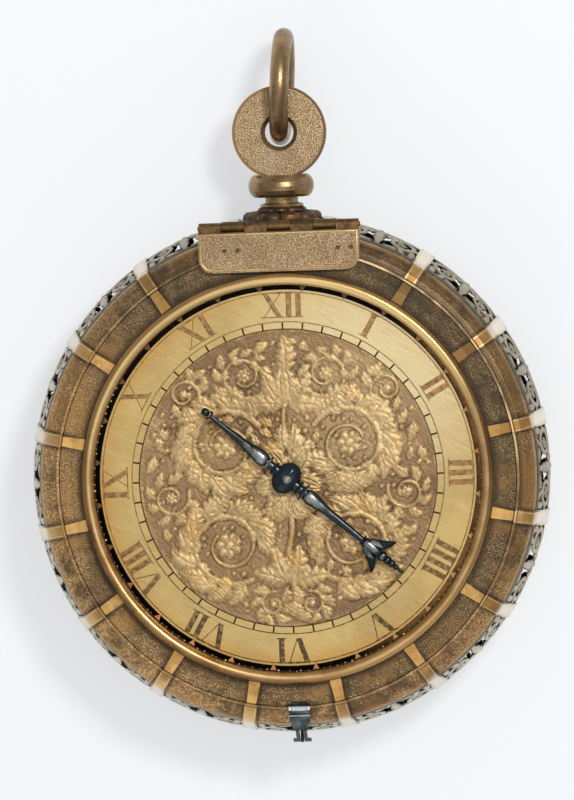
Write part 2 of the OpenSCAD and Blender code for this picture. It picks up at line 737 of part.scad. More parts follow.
// Each numeral is a word of I, V and X, with the width that each letter takes
numerals = ["XII", "I", "II", "III", "IIII", "V", "VI", "VII", "VIII", "IX", "X", "XI"];
function letter_w(c) = c == "I" ? 1.9 : c == "V" ? 5.0 : 4.6;
function word_w(word, n) = n == 0 ? 0 : letter_w(word[n - 1]) + word_w(word, n - 1);
module letter(c) {
    half = letter_w(c) / 2;
    if (c == "I") numeral_stroke(0, 0, stroke_w);
    if (c == "V") {
        numeral_stroke(0, -half + 0.9, stroke_w);
        numeral_stroke(0.3, half - 0.6, hair_w);
    }
    if (c == "X") {
        numeral_stroke(half - 0.9, -half + 0.9, stroke_w);
        numeral_stroke(-half + 0.6, half - 0.6, hair_w);
    }
    for (y = [0, numeral_h]) if (c != "V" || y > 0)
        translate([-half, y - hair_w / 2]) square([2 * half, hair_w]);
}
module numeral(word) {
    w = word_w(word, len(word));
    for (i = [0:len(word) - 1])
        translate([word_w(word, i) + letter_w(word[i]) / 2 - w / 2, numeral_in]) letter(word[i]);
}
module chapter_ring() {
    color(gilt) difference() {
        ring(dial_r, chapter_in, dial_top - chapter_t, chapter_t);
        translate([0, 0, dial_top - engrave]) linear_extrude(1) {
            for (h = [0:11]) rotate(-h * 30) numeral(numerals[h]);
            for (q = [0:47]) rotate(q * 7.5)
                translate([-mark_w / 2, chapter_in + 0.1]) square([mark_w, quarter_r - chapter_in - 0.2]);
        }
        for (r = [quarter_r, dial_r - 0.5]) ring(r + hair_w / 2, r - hair_w / 2, dial_top - engrave, 1);
    }
}
module centre_relief() {
    color(dark_brass) difference() {
        translate([0, 0, dial_top - chapter_t]) cylinder(r = chapter_in - 0.1, h = chapter_t);
        translate([0, 0, dial_plate_z]) cylinder(r = pipe_r + 0.3, h = 4);
    }
}
foot_at = dial_r - 4.6;
module dial_feet() {
    z0 = front_plate_z - 1.0;
    color(brass) for (a = [60, 150, 240, 330]) rotate([0, 0, a]) translate([foot_at, 0, 0]) {
        translate([0, 0, z0]) cylinder(r = 0.7, h = front_top - z0);
        translate([0, 0, front_top]) cylinder(r = 1.1, h = dial_plate_z - front_top);
    }
}

// Motion work and hand
post_r = 0.6;
pipe_r = 1.3;
pipe_top = hand_z + 0.9;
post_top = hand_z + 1.45;
hand_turn = 90 - hand_hour * 30;

module hour_post() {
    color(steel) {
        translate([0, 0, front_plate_z]) cylinder(r = post_r, h = post_top - front_plate_z);
        translate([0, 0, post_top]) intersection() {
            cylinder(r = 0.9, h = 0.4);
            translate([0, 0, -0.7]) sphere(r = 1.15);
        }
    }
}
module hour_wheel() {
    color(brass) difference() {
        union() {
            wheel(hour_teeth, motion_m, great_dir, motion_z, motion_t, pipe_r);
            translate([0, 0, motion_z]) cylinder(r = pipe_r, h = pipe_top - motion_z);
        }
        cylinder(r = post_r + run_gap, h = 2 * hand_z);
    }
}
// Half outline of the hand: distance along it and radius
tail_line = [for (p = [[0, 0], [0.3, 0.7], [1, 0.95], [1.6, 0.7], [1.9, 0.45], [2.3, 0.95], [2.7, 0.45],
    [7.8, 0.62]]) [p[0] - hand_tail, p[1]]];
middle_line = [[-9, 1.15], [-6, 1.55], [-5.2, 1.45], [-4.9, 1], [-4.8, 1.7], [-4.4, 1.7], [-4.3, 0.95],
    [-3.5, 0.95], [-3.3, 1.4], [-2.9, 1.4], [-2.7, 0.9], [2.7, 0.9], [2.9, 1.4], [3.3, 1.4], [3.5, 0.95],
    [4.2, 0.95], [4.3, 1.85], [4.7, 1.85], [4.8, 1], [5.3, 1.4], [6.8, 1.5], [10, 1.15]];
tip_line = [for (p = [[14.8, 0.68], [10.4, 0.5], [10.2, 1], [9.5, 1], [9.3, 0.55], [6.4, 0.5], [6, 0.8],
    [5.4, 0.8], [5, 0.5], [3.4, 0.45], [3, 0.7], [2.5, 0.7], [2.1, 0.4], [1.2, 0.6], [0.6, 0.55], [0, 0]])
    [hand_length - p[0], p[1]]];
module leaf_point(back_from_tip, side, r) {
    translate([hand_length - back_from_tip, side, 0]) sphere(r = r, $fn = 16);
}
module hour_hand() {
    color(steel) translate([0, 0, hand_z]) rotate([0, 0, hand_turn]) difference() {
        union() {
            rotate([0, 90, 0]) rotate_extrude($fn = 32)
                polygon([for (p = concat(tail_line, middle_line, tip_line)) [p[1], p[0]]]);
            difference() {
                scale([2.5 / 3.6, 1, 1.4 / 3.6]) sphere(r = boss_w / 2, $fn = 48);
                cylinder(r = pipe_r, h = 6, center = true);
            }
            for (s = [-1, 1]) {
                hull() {
                    leaf_point(9.4, s * 0.5, 0.65);
                    leaf_point(6.8, s * 1.7, 0.85);
                }
                hull() {
                    leaf_point(6.8, s * 1.7, 0.85);
                    leaf_point(4.6, s * 3.6, 0.4);
                }
            }
        }
        cylinder(r = pipe_r, h = 6, center = true);
    }
}
module report_pinion() {
    color(steel) translate([great_at[0], great_at[1], 0]) difference() {
        translate([0, 0, motion_z]) linear_extrude(motion_t) pinion_2d(report_leaves, motion_m,
            great_dir + 180 + 180 / report_leaves);
        cylinder(r = upper_pivot_r + run_gap, h = 2 * hand_z);
    }
}

// Plates

module plate_bores(p, r) {
    translate([p[0], p[1], back_plate_z - 1]) cylinder(r = r + run_gap, h = front_top - back_plate_z + 2);
}
module back_plate() {
    color(gilt) difference() {
        translate([0, 0, back_plate_z]) cylinder(r = back_plate_r, h = plate_t);
        plate_bores(great_at, winding_r);
        plate_bores(strike_at, winding_r);
        for (p = [second_at, contrate_at, strike_second_at, fly_at, hammer_at, [verge_x, contrate_at[1]]])
            plate_bores(p, arbor_r);
        pillar_holes();
        cock_screw_hole();
    }
}
upper_pivot_r = 0.8;
module front_plate() {
    color(gilt) difference() {
        translate([0, 0, front_plate_z]) cylinder(r = front_plate_r, h = plate_t);
        plate_bores(great_at, upper_pivot_r);
        plate_bores(strike_at, upper_pivot_r);
        for (p = [second_at, contrate_at, strike_second_at, fly_at, hammer_at, [verge_x, contrate_at[1]]])
            plate_bores(p, arbor_r);
        translate([0, 0, front_plate_z - 1]) cylinder(r = post_r, h = 4);
        translate([count_at[0], count_at[1], front_plate_z - 1]) cylinder(r = count_post_r, h = 4);
        for (a = [60, 150, 240, 330]) rotate([0, 0, a]) translate([foot_at, 0, front_plate_z - 1])
            cylinder(r = 0.7, h = 4);
        for (p = spring_stud_spots) translate([p[0], p[1], front_plate_z - 1]) cylinder(r = 0.5, h = 4);
        pillar_holes();
        screw_holes(front_plate_z - 1);
    }
}
module pillar_spots() {
    for (a = [40, 125, 220, 280]) rotate([0, 0, a]) translate([pillar_at, 0, 0]) children();
}
pillar_end_r = 0.9;
pillar_pin_r = 0.3;
module pillar_holes() {
    pillar_spots() translate([0, 0, back_plate_z - 1]) cylinder(r = pillar_end_r, h = 20);
}
module plate_pillars() {
    gap = front_plate_z - back_top;
    waist = pillar_r - 0.6;
    color(brass) pillar_spots() difference() {
        translate([0, 0, back_plate_z]) rotate_extrude($fn = 32) polygon([[0, 0], [pillar_end_r, 0],
            [pillar_end_r, plate_t], [pillar_r, plate_t], [pillar_r, plate_t + 1], [waist, plate_t + 1.8],
            [waist + 0.3, plate_t + gap / 2], [waist, plate_t + gap - 1.8],
            [pillar_r, plate_t + gap - 1], [pillar_r, plate_t + gap], [pillar_end_r, plate_t + gap],
            [pillar_end_r, 2 * plate_t + gap + 1.4], [0, 2 * plate_t + gap + 1.4]]);
        translate([0, 0, front_top + pillar_pin_r]) rod_x(pillar_pin_r, -3, 3);
    }
}
module pillar_pins() {
    color(steel) pillar_spots() translate([0, 0, front_top + pillar_pin_r]) rod_x(pillar_pin_r, -2.2, 2.2);
}

// Going train

spring_stud_spots = [great_at + (spring_r + 0.7) * toward(-60), strike_at + (spring_r + 0.7) * toward(240)];
module spring_studs() {
    color(steel) for (p = spring_stud_spots) translate([p[0], p[1], spring_z])
        cylinder(r = 0.5, h = front_top - spring_z);
}
// Spiral ribbon that ends at its stud, in the direction last
spring_turns = 7;
spring_t = 0.3;
module spiral(last) {
    r0 = 2.2;
    n = spring_turns * 24;
    spiral_at = [for (i = [0:n]) [r0 + (spring_r - r0 - spring_t) * i / n, last + (i - n) * 15]];
    linear_extrude(spring_h) polygon(concat([for (q = spiral_at) ray(q[0], q[1])],
        back([for (q = spiral_at) ray(q[0] + spring_t, q[1])])));
}
module going_spring() {
    color(steel) translate([great_at[0], great_at[1], spring_z]) spiral(-60);
}
module strike_spring() {
    color(steel) translate([strike_at[0], strike_at[1], spring_z]) spiral(240);
}

module winding_arbor(top) {
    round_z = back_plate_z - 1.5;
    translate([0, 0, round_z]) cylinder(r = winding_r, h = front_plate_z - 0.2 - round_z);
    translate([-key_square / 2, -key_square / 2, square_z])
        cube([key_square, key_square, round_z + 0.2 - square_z]);
    translate([0, 0, front_plate_z - 0.3]) cylinder(r = upper_pivot_r, h = top - front_plate_z + 0.3);
}
module great_wheel() {
    color(brass) translate([great_at[0], great_at[1], 0])
        wheel(great_teeth, great_m, second_dir, great_z, wheel_t, winding_r);
}
module great_arbor() {
    color(steel) translate([great_at[0], great_at[1], 0]) winding_arbor(motion_z + motion_t + 0.3);
}
module ratchet_wheel() {
    n = 18;
    color(steel) translate([great_at[0], great_at[1], great_z + wheel_t]) difference() {
        linear_extrude(0.5) polygon([for (i = [0:n - 1]) each [ray(3.3, i * 360 / n), ray(4, i * 360 / n)]]);
        translate([0, 0, -1]) cylinder(r = winding_r, h = 4);
    }
}
module second_wheel() {
    color(brass) translate([second_at[0], second_at[1], 0]) {
        wheel(second_teeth, second_m, contrate_dir, upper_z, 1, arbor_r);
        pinion_arbor(train_leaves, great_m, second_dir + 180 + 180 / train_leaves, great_z - 0.4,
            wheel_t + 0.8);
    }
}
module contrate_wheel() {
    tooth = contrate_rim * 2 * PI / contrate_teeth * 0.3;
    color(brass) translate([contrate_at[0], contrate_at[1], 0]) {
        wheel(contrate_teeth, 2 * (contrate_rim - 0.6) / contrate_teeth, 0, contrate_z, 0.6, arbor_r);
        difference() {
            ring(contrate_rim + 0.4, contrate_rim - 0.4, contrate_z - 1.4, 1.6);
            for (i = [0:contrate_teeth - 1]) rotate([0, 0, (i + 0.5) * 360 / contrate_teeth])
                translate([contrate_rim - 1, -contrate_rim * PI / contrate_teeth + tooth / 2, contrate_z - 2])
                    cube([2, contrate_rim * 2 * PI / contrate_teeth - tooth, 1.7]);
        }
        pinion_arbor(second_leaves, second_m, contrate_dir + 180 + 180 / second_leaves, upper_z - 0.4, 1.8);
    }
}
crown_arbor_r = 0.35;
module crown_cocks() {
    color(brass) difference() {
        for (x = [3.0, 12.2]) translate([contrate_at[0] + x, contrate_at[1] - 1.5, back_top])
            cube([1.4, 3, crown_z + 1 - back_top]);
        translate([contrate_at[0], contrate_at[1], crown_z]) rod_x(crown_arbor_r + run_gap, 0, 20);
    }
}
module crown_wheel() {
    pinion_x = contrate_at[0] + contrate_rim - 0.8;
    color(brass) translate([0, contrate_at[1], crown_z]) {
        rod_x(crown_arbor_r, contrate_at[0] + 2.8, crown_disc_x + 0.6);
        translate([pinion_x, 0, 0]) rotate([0, 90, 0]) linear_extrude(1.6)
            polygon(gear_line(crown_leaves, 0.32, 0.5, 1.4, 0.16, 0.3, 0.4, 30));
        translate([crown_disc_x, 0, 0]) rotate([0, 90, 0]) {
            cylinder(r = crown_r, h = 0.5);
            difference() {
                ring(crown_r, crown_r - 0.4, 0, crown_tip_x - crown_disc_x);
                for (i = [0:crown_teeth - 1]) rotate([0, 0, i * 360 / crown_teeth])
                    translate([crown_r - 2, 0.35, 1]) cube([3, 2 * PI * crown_r / crown_teeth - 0.6, 3]);
            }
        }
    }
}
module verge_staff() {
    z0 = cock_z + 0.2;
    color(steel) translate([verge_x, contrate_at[1], 0]) {
        translate([0, 0, z0]) cylinder(r = arbor_r, h = front_top - z0 - 0.3);
        for (s = [-1, 1]) translate([0, 0, crown_z + s * (crown_r - 0.4) - 0.6]) rotate([0, 0, 180 + s * 50])
            translate([0, -0.15, 0]) cube([pallet_reach, 0.3, 1.2]);
    }
}
module balance_wheel() {
    color(brass) translate([verge_x, contrate_at[1], balance_z]) {
        difference() {
            union() {
                ring(balance_r, balance_r - 1.1, 0, balance_t);
                for (a = [0, 120, 240]) rotate([0, 0, a]) translate([0, -0.5, 0])
                    cube([balance_r - 0.6, 1, balance_t]);
                cylinder(r = 1.6, h = balance_t);
            }
            translate([0, 0, -1]) cylinder(r = arbor_r, h = 4);
        }
    }
}
cock_reach = balance_r + 4;
module cock_screw_hole() {
    translate([verge_x, contrate_at[1] + cock_reach, cock_z - 1])
        cylinder(r = 0.7, h = back_top - cock_z + 0.6);
}
module balance_cock() {
    color(gilt) difference() {
        translate([verge_x, contrate_at[1], cock_z]) {
            cylinder(r = 2, h = cock_t);
            translate([-1.5, 0, 0]) cube([3, cock_reach, cock_t]);
            translate([-2.5, cock_reach - 2.4, 0]) cube([5, 4.8, back_plate_z - cock_z]);
        }
        cock_screw_hole();
        translate([verge_x, contrate_at[1], cock_z - 1]) cylinder(r = arbor_r + run_gap, h = 4);
    }
}
module cock_screw() {
    color(steel) translate([verge_x, contrate_at[1] + cock_reach, 0]) {
        translate([0, 0, cock_z]) cylinder(r = 0.7, h = back_top - cock_z - 0.4);
        translate([0, 0, cock_z - 0.6]) difference() {
            cylinder(r = 1.4, h = 0.6);
            translate([-2, -0.15, -1]) cube([4, 0.3, 1.3]);
        }
    }
}

// Striking train

// Radius of the circle of pins that lift the hammer
lift_at = strike_teeth * strike_m / 2 - 1.2;
module strike_great_wheel() {
    color(brass) translate([strike_at[0], strike_at[1], 0]) {
        wheel(strike_teeth, strike_m, strike_second_dir, great_z, wheel_t, winding_r);
        for (i = [0:7]) rotate([0, 0, hammer_dir + 22.5 + i * 45]) translate([lift_at, 0, great_z])
            cylinder(r = 0.4, h = wheel_t + 0.8);
        winding_arbor(motion_z + motion_t + 0.3);
        translate([0, 0, motion_z]) linear_extrude(motion_t) pinion_2d(report_leaves, motion_m, count_dir);
    }
}
module strike_second_wheel() {
    color(brass) translate([strike_second_at[0], strike_second_at[1], 0]) {
        wheel(strike_second_teeth, strike_second_m, fly_dir, upper_z, 1, arbor_r);
        pinion_arbor(train_leaves, strike_m, strike_second_dir + 180 + 180 / train_leaves, great_z - 0.4,
            wheel_t + 0.8);
    }
}
module fly() {
    color(brass) translate([fly_at[0], fly_at[1], 0]) {
        pinion_arbor(fly_leaves, strike_second_m, fly_dir + 180 + 180 / fly_leaves, upper_z - 0.4, 1.8);
        translate([-5, -0.2, back_top + 1.5]) cube([10, 0.4, 6]);
    }
}
count_post_r = 0.7;
module count_wheel() {
    post = count_post_r - run_gap;
    color(brass) translate([count_at[0], count_at[1], 0]) {
        wheel(count_teeth, motion_m, count_dir + 180 + 180 / count_teeth, motion_z, 0.8, post);
        translate([0, 0, front_plate_z + 0.2]) cylinder(r = post, h = motion_z + 1 - front_plate_z);
    }
}

// The head of the hammer waits just inside the rim of the bell
head_dir = -65;
head_r = 1.5;
head_at = (bell_r - bell_wall - 0.9 - head_r) * toward(head_dir);
tail_reach = hammer_from - lift_at - 0.9;
module hammer() {
    arm = head_at - hammer_at;
    arm_z = back_plate_z - 2.3;
    color(steel) translate([hammer_at[0], hammer_at[1], 0]) {
        translate([0, 0, arm_z]) cylinder(r = arbor_r, h = front_top - 0.3 - arm_z);
        translate([0, 0, arm_z]) cylinder(r = 1.3, h = 1.2);
        rotate([0, 0, atan2(arm[1], arm[0])]) translate([0, -0.6, arm_z]) cube([norm(arm), 1.2, 1.2]);
        translate([arm[0], arm[1], arm_z - 0.4]) cylinder(r = head_r, h = 2);
        rotate([0, 0, hammer_dir + 180]) translate([0, -0.5, great_z + wheel_t + 0.1])
            cube([tail_reach, 1, 0.7]);
    }
}

case_band();
front_rim();
back_rim();
side_ribs();
case_back();
inner_ledge();
bell();
bell_stud();
bell_nut();
pendant_base();
pendant_stem();
pendant_nut();
pendant_eye();
pendant_ring();
case_hinge_leaf();
hinge_pin();
catch_stud();
cover_flange();
cover_straps();
bezel_ring();
prong_ring();
hinge_plate();
hinge_rivets();
catch_lugs();
catch_pin();
catch_lever();
dial_plate();
chapter_ring();
centre_relief();
dial_feet();
hour_post();
hour_wheel();
hour_hand();
report_pinion();
front_plate();
back_plate();
plate_pillars();
pillar_pins();
ledge_screws();
spring_studs();
going_spring();
great_wheel();
great_arbor();
ratchet_wheel();
second_wheel();
contrate_wheel();
crown_cocks();
crown_wheel();
verge_staff();
balance_wheel();
balance_cock();
cock_screw();
strike_spring();
strike_great_wheel();
strike_second_wheel();
fly();
count_wheel();
hammer();
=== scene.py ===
"""Looks of the round neck clock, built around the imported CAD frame.

Object coordinates are those of the CAD: +Z out of the dial, +Y to twelve o'clock.
Shapes are modelled in millimetres and brought to metres when a piece is finished.
"""

import math
import random

import bmesh
import bpy
from bpy.props import FloatProperty, FloatVectorProperty, IntProperty, PointerProperty
from mathutils import Matrix, Vector, noise


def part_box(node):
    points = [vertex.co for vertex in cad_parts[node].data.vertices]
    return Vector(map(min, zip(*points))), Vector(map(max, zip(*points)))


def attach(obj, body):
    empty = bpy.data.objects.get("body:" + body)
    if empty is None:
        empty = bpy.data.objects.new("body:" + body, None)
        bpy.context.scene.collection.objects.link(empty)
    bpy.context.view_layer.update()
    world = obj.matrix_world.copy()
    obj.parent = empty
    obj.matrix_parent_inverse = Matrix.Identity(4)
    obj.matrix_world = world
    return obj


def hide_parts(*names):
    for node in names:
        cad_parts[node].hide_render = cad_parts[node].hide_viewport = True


bl_info = {
    "name": "Round Neck Clock",
    "version": (1, 0, 0),
    "blender": (4, 5, 0),
    "location": "3D View > Sidebar > Clock",
    "description": "Builds the looks of a round neck clock around its CAD frame",
    "category": "Add Mesh",
}

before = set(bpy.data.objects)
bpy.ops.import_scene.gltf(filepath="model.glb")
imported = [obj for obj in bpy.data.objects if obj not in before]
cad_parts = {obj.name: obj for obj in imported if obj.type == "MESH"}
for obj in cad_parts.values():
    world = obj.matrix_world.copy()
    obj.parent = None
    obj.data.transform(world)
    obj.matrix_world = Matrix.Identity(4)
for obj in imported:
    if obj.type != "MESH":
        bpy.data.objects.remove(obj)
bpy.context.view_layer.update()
MM = 0.001


def span(node):
    """Lowest and highest corner of a CAD node, in millimetres."""
    low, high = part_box(node)
    return Vector(low) / MM, Vector(high) / MM


def paint(red, green, blue):
    """A colour as a paint chart gives it, 0 to 255, made linear."""
    def linear(c):
        c /= 255
        return c / 12.92 if c <= 0.04045 else ((c + 0.055) / 1.055) ** 2.4
    return linear(red), linear(green), linear(blue)


# Places taken from the CAD
BAND_LOW = span("case_band")[0].z
BAND_TOP = span("case_band")[1].z
BAND_R = span("case_band")[1].x
BAND_MID = (BAND_LOW + BAND_TOP) / 2
CASE_R = span("cover_flange")[1].x + 0.2
BAND_BULGE = BAND_R - CASE_R
RIBS = 16
PANEL_TURN = 360 / RIBS
RIDGE_R = CASE_R - 3.85
RELIEF_R = span("centre_relief")[1].x
RELIEF_LOW = span("centre_relief")[0].z
RELIEF_TOP = span("centre_relief")[1].z
BEZEL_IN_R = span("bezel_ring")[1].x - 2.25
PRONG_Z = (span("prong_ring")[0].z + span("prong_ring")[1].z) / 2
PRONGS = 28
PLATE_LOW, PLATE_HIGH = span("hinge_plate")
EYE_LOW, EYE_HIGH = span("pendant_eye")
EYE_R = EYE_HIGH.x
EYE_Y = EYE_HIGH.y - EYE_R
BASE_LOW, BASE_HIGH = span("pendant_base")
HAND_Z = (span("hour_hand")[0].z + span("hour_hand")[1].z) / 2
BOSS_R = 3.4
HAND_HOUR = 4.37
HAND_TURN = 90 - 30 * HAND_HOUR
# Other places, in millimetres; a pair is where a dark tone ends and the full one begins
RAIL = 0.6
GAP_R = 36.0
ENGRAVED_Z = (28.0, 28.06)
BEZEL_FOOT_Z = (28.4, 29.6)
PLATE_TOP = 49.4
PLATE_CORNER = 2.8
# The camera: leans and roll in degrees, distance in metres, lens and the rest in millimetres
CAMERA_LEANS = (3.69, 4.26)
CAMERA_ROLL = 2.12
CAMERA_AWAY = 1.3919
CAMERA_LENS = 314.2
CAMERA_TURNS_ABOUT = (0, 0, 28)
CAMERA_AIM = (0.36, 15.57, 0)
FLOOR_GLOW = 0.555
SKY_LIGHT = 0.45


def band_at(height):
    """Radius of the outside of the band at a height."""
    return BAND_R - BAND_BULGE * ((height - BAND_MID) / ((BAND_TOP - BAND_LOW) / 2)) ** 2


def polar(radius, turn):
    """The x and y at a radius and a turn in degrees."""
    a = math.radians(turn)
    return radius * math.cos(a), radius * math.sin(a)


class ClockSizes(bpy.types.PropertyGroup):
    """Sizes of the ornament, in metres."""
    openwork_depth: FloatProperty(
        name="Openwork depth", description="Thickness of the band's openwork",
        default=0.5 * MM, unit="LENGTH")
    relief_rise: FloatProperty(
        name="Relief rise", description="Height of the dial's foliage above its ground",
        default=0.42 * MM, unit="LENGTH")
    border_width: FloatProperty(
        name="Border width", description="Width of the line around the hinge plate",
        default=0.36 * MM, unit="LENGTH")
    burr_size: FloatProperty(
        name="Burr size", description="Largest radius of the burrs between the bezel's teeth",
        default=0.26 * MM, unit="LENGTH")
    base_leaves: IntProperty(
        name="Base leaves", description="Number of leaves around the foot of the pendant",
        default=10, min=5, max=14)


class ClockColours(bpy.types.PropertyGroup):
    """Colours of the finishes."""
    patina: FloatVectorProperty(
        name="Patina", description="Dark brown patina in the recesses",
        default=paint(66, 52, 38), subtype="COLOR", min=0, max=1)
    dial: FloatVectorProperty(
        name="Hour ring", description="Pale gilding of the hour ring",
        default=paint(202, 173, 110), subtype="COLOR", min=0, max=1)
    silver: FloatVectorProperty(
        name="Band", description="Grey metal of the pierced band",
        default=paint(214, 207, 188), subtype="COLOR", min=0, max=1)


# Finishes. A tuple is a colour as a paint chart gives it, 0 to 255.
# Near black of the painted shade in the dark gap under the bezel
GAP_SHADE_BLACK = (24, 20, 16)


class Pattern:
    """A number or colour that varies over a surface; sums with it add Math nodes."""

    def __init__(self, finish, socket):
        self.finish = finish
        self.socket = socket

    def __add__(self, other):
        return self.finish.sum("ADD", self, other)

    def __sub__(self, other):
        return self.finish.sum("SUBTRACT", self, other)

    def __rsub__(self, other):
        return self.finish.sum("SUBTRACT", other, self)

    def __mul__(self, other):
        return self.finish.sum("MULTIPLY", self, other)

    def __truediv__(self, other):
        return self.finish.sum("DIVIDE", self, other)

    def __abs__(self):
        return self.finish.sum("ABSOLUTE", self)

    def rise(self, low, high, most=1.0, least=0.0):
        """Goes smoothly from least to most while the pattern goes from low to high."""
        return self.finish.out("ShaderNodeMapRange", {
            "Value": self, "From Min": low, "From Max": high, "To Min": least, "To Max": most},
            interpolation_type="SMOOTHSTEP")

    def fall(self, low, high, most=1.0, least=0.0):
        """Goes smoothly from most to least while the pattern goes from low to high."""
        return self.rise(low, high, least, most)


class Finish:
    """A node material that reads Object coordinates; its tone is built up in coats."""

    def __init__(self, name):
        self.material = bpy.data.materials.new(name)
        self.material.use_nodes = True
        self.tree = self.material.node_tree
        self.tree.nodes.clear()
        end = self.tree.nodes.new("ShaderNodeOutputMaterial")
        self.shader = self.tree.nodes.new("ShaderNodeBsdfPrincipled")
        self.tree.links.new(self.shader.outputs["BSDF"], end.inputs["Surface"])
        self.place = self.out("ShaderNodeTexCoord", {}, "Object")
        self.tone = None

    def put(self, socket, value):
        """Sets a socket to a number or colour, or links it to a pattern."""
        if isinstance(value, Pattern):
            self.tree.links.new(value.socket, socket)
        elif socket.type == "RGBA":
            socket.default_value = (*(paint(*value) if isinstance(value, tuple) else value), 1.0)
        else:
            socket.default_value = value

    def node(self, kind, inputs, **settings):
        """Adds a node with the given settings and inputs."""
        made = self.tree.nodes.new(kind)
        for key, value in settings.items():
            setattr(made, key, value)
        for key, value in inputs.items():
            self.put(made.inputs[key], value)
        return made

    def out(self, kind, inputs, output=0, **settings):
        """Adds a node and takes one of its outputs."""
        return Pattern(self, self.node(kind, inputs, **settings).outputs[output])

    def sum(self, operation, first, second=0.0):
        """A sum with one or two values."""
        return self.out("ShaderNodeMath", {0: first, 1: second}, operation=operation)

    def stretched(self, scale, turn=0.0):
        """Object coordinates scaled along axes that are turned about Z."""
        return self.out("ShaderNodeMapping", {
            "Vector": self.place, "Rotation": (0, 0, math.radians(turn)),
            "Scale": tuple(1 / s for s in scale)}, vector_type="TEXTURE")

    def noise(self, scale, detail=3.0, roughness=0.55, place=None, distortion=0.0):
        """Cloudy pattern; scale is in cycles a metre."""
        return self.out("ShaderNodeTexNoise", {
            "Vector": place or self.place, "Scale": scale, "Detail": detail,
            "Roughness": roughness, "Distortion": distortion})

    def cells(self, scale):
        """Distance to the nearest of many scattered points."""
        return self.out("ShaderNodeTexVoronoi", {"Vector": self.place, "Scale": scale}, "Distance")

    def speckles(self, scale):
        """Small punch marks: low in the pits, high on the lands between them."""
        return self.cells(scale) * 0.7 + self.noise(scale * 0.7, 3, 0.65) * 0.7

    def ramp(self, value, *stops):
        """A colour ramp with (place, colour) stops."""
        made = self.node("ShaderNodeValToRGB", {0: value})
        bar = made.color_ramp.elements
        while len(bar) < len(stops):
            bar.new(0.5)
        for element, (place, colour) in zip(bar, stops):
            element.position = place
            element.color = (*paint(*colour), 1.0)
        return Pattern(self, made.outputs[0])

    def mix(self, share, first, second):
        """Mixes two colours by a share."""
        return self.out("ShaderNodeMix", {0: share, 6: first, 7: second}, 2, data_type="RGBA")

    def coat(self, colour, share):
        """Lays a colour over the tone by a share."""
        self.tone = self.mix(share, self.tone, colour)

    def parts(self):
        """The three Object coordinates, in metres."""
        made = self.node("ShaderNodeSeparateXYZ", {0: self.place})
        return [Pattern(self, output) for output in made.outputs]

    def across(self, axis):
        """One of the Object coordinates, in millimetres."""
        return self.parts()[axis] / MM

    def radius(self, x=0.0, y=0.0):
        """Distance from an axis along Z, in millimetres."""
        parts = self.parts()
        flat = self.out("ShaderNodeCombineXYZ", {0: parts[0], 1: parts[1]})
        return self.out("ShaderNodeVectorMath", {0: flat, 1: (x * MM, y * MM, 0)}, "Value",
                        operation="DISTANCE") / MM

    def toward(self, turn):
        """How far a place lies towards a direction in the dial's plane, -1 to 1."""
        parts = self.parts()
        a = math.radians(turn)
        along = parts[0] * math.cos(a) + parts[1] * math.sin(a)
        return along / MM / self.sum("MAXIMUM", self.radius(), 1.0)

    def off_strap(self):
        """Distance across to the middle of the nearest strap, in millimetres."""
        parts = self.parts()
        share = self.sum("FRACT", self.sum("ARCTAN2", parts[1], parts[0]) * (RIBS / (2 * math.pi)))
        return abs(share - 0.5) * (2 * math.pi / RIBS) * self.radius()

    def finish(self, metallic, roughness, height=None, depth=0.02):
        """Sets the shader; height is a pattern whose full depth is in millimetres."""
        for key, value in (("Base Color", self.tone), ("Metallic", metallic),
                           ("Roughness", roughness)):
            self.put(self.shader.inputs[key], value)
        if height is not None:
            bump = self.out("ShaderNodeBump", {"Height": height, "Distance": depth * MM})
            self.put(self.shader.inputs["Normal"], bump)
        return self.material


def worn_metal(name, whole, worn, patina, gloss=0.34, spots=0.5, metallic=0.9, share=0.5,
               gap_shade_beyond=None):
    """Old metal: patches of two tones, small dark spots, fine scratches.

    Beyond a given radius it is painted shade of the dark gap: black at the left and brown at the
    right."""
    f = Finish(name)
    f.tone = f.mix(f.noise(90, 5, 0.65).rise(share - 0.12, share + 0.12), worn, whole)
    f.coat(patina, f.noise(700, 4, 0.72).rise(0.56, 0.74, spots))
    grain = f.noise(4200, 3, 0.65)
    f.coat(patina, grain.rise(0.5, 0.72, 0.35))
    scratch = f.noise(60, 2, 0.5, f.stretched((6, 90, 20), 24))
    f.coat(whole, scratch.rise(0.6, 0.72, 0.25))
    if gap_shade_beyond:
        # Painted shade in the gap: black at the left, brown at the right
        f.coat(f.mix(f.toward(-8).rise(0.4, 0.8), GAP_SHADE_BLACK, (150, 108, 64)),
               f.radius().rise(gap_shade_beyond, gap_shade_beyond + 0.6))
    rough = f.noise(300, 4, 0.6).rise(0.3, 0.75, gloss + 0.16, gloss - 0.06)
    f.finish(metallic, rough, grain + scratch * 0.6)


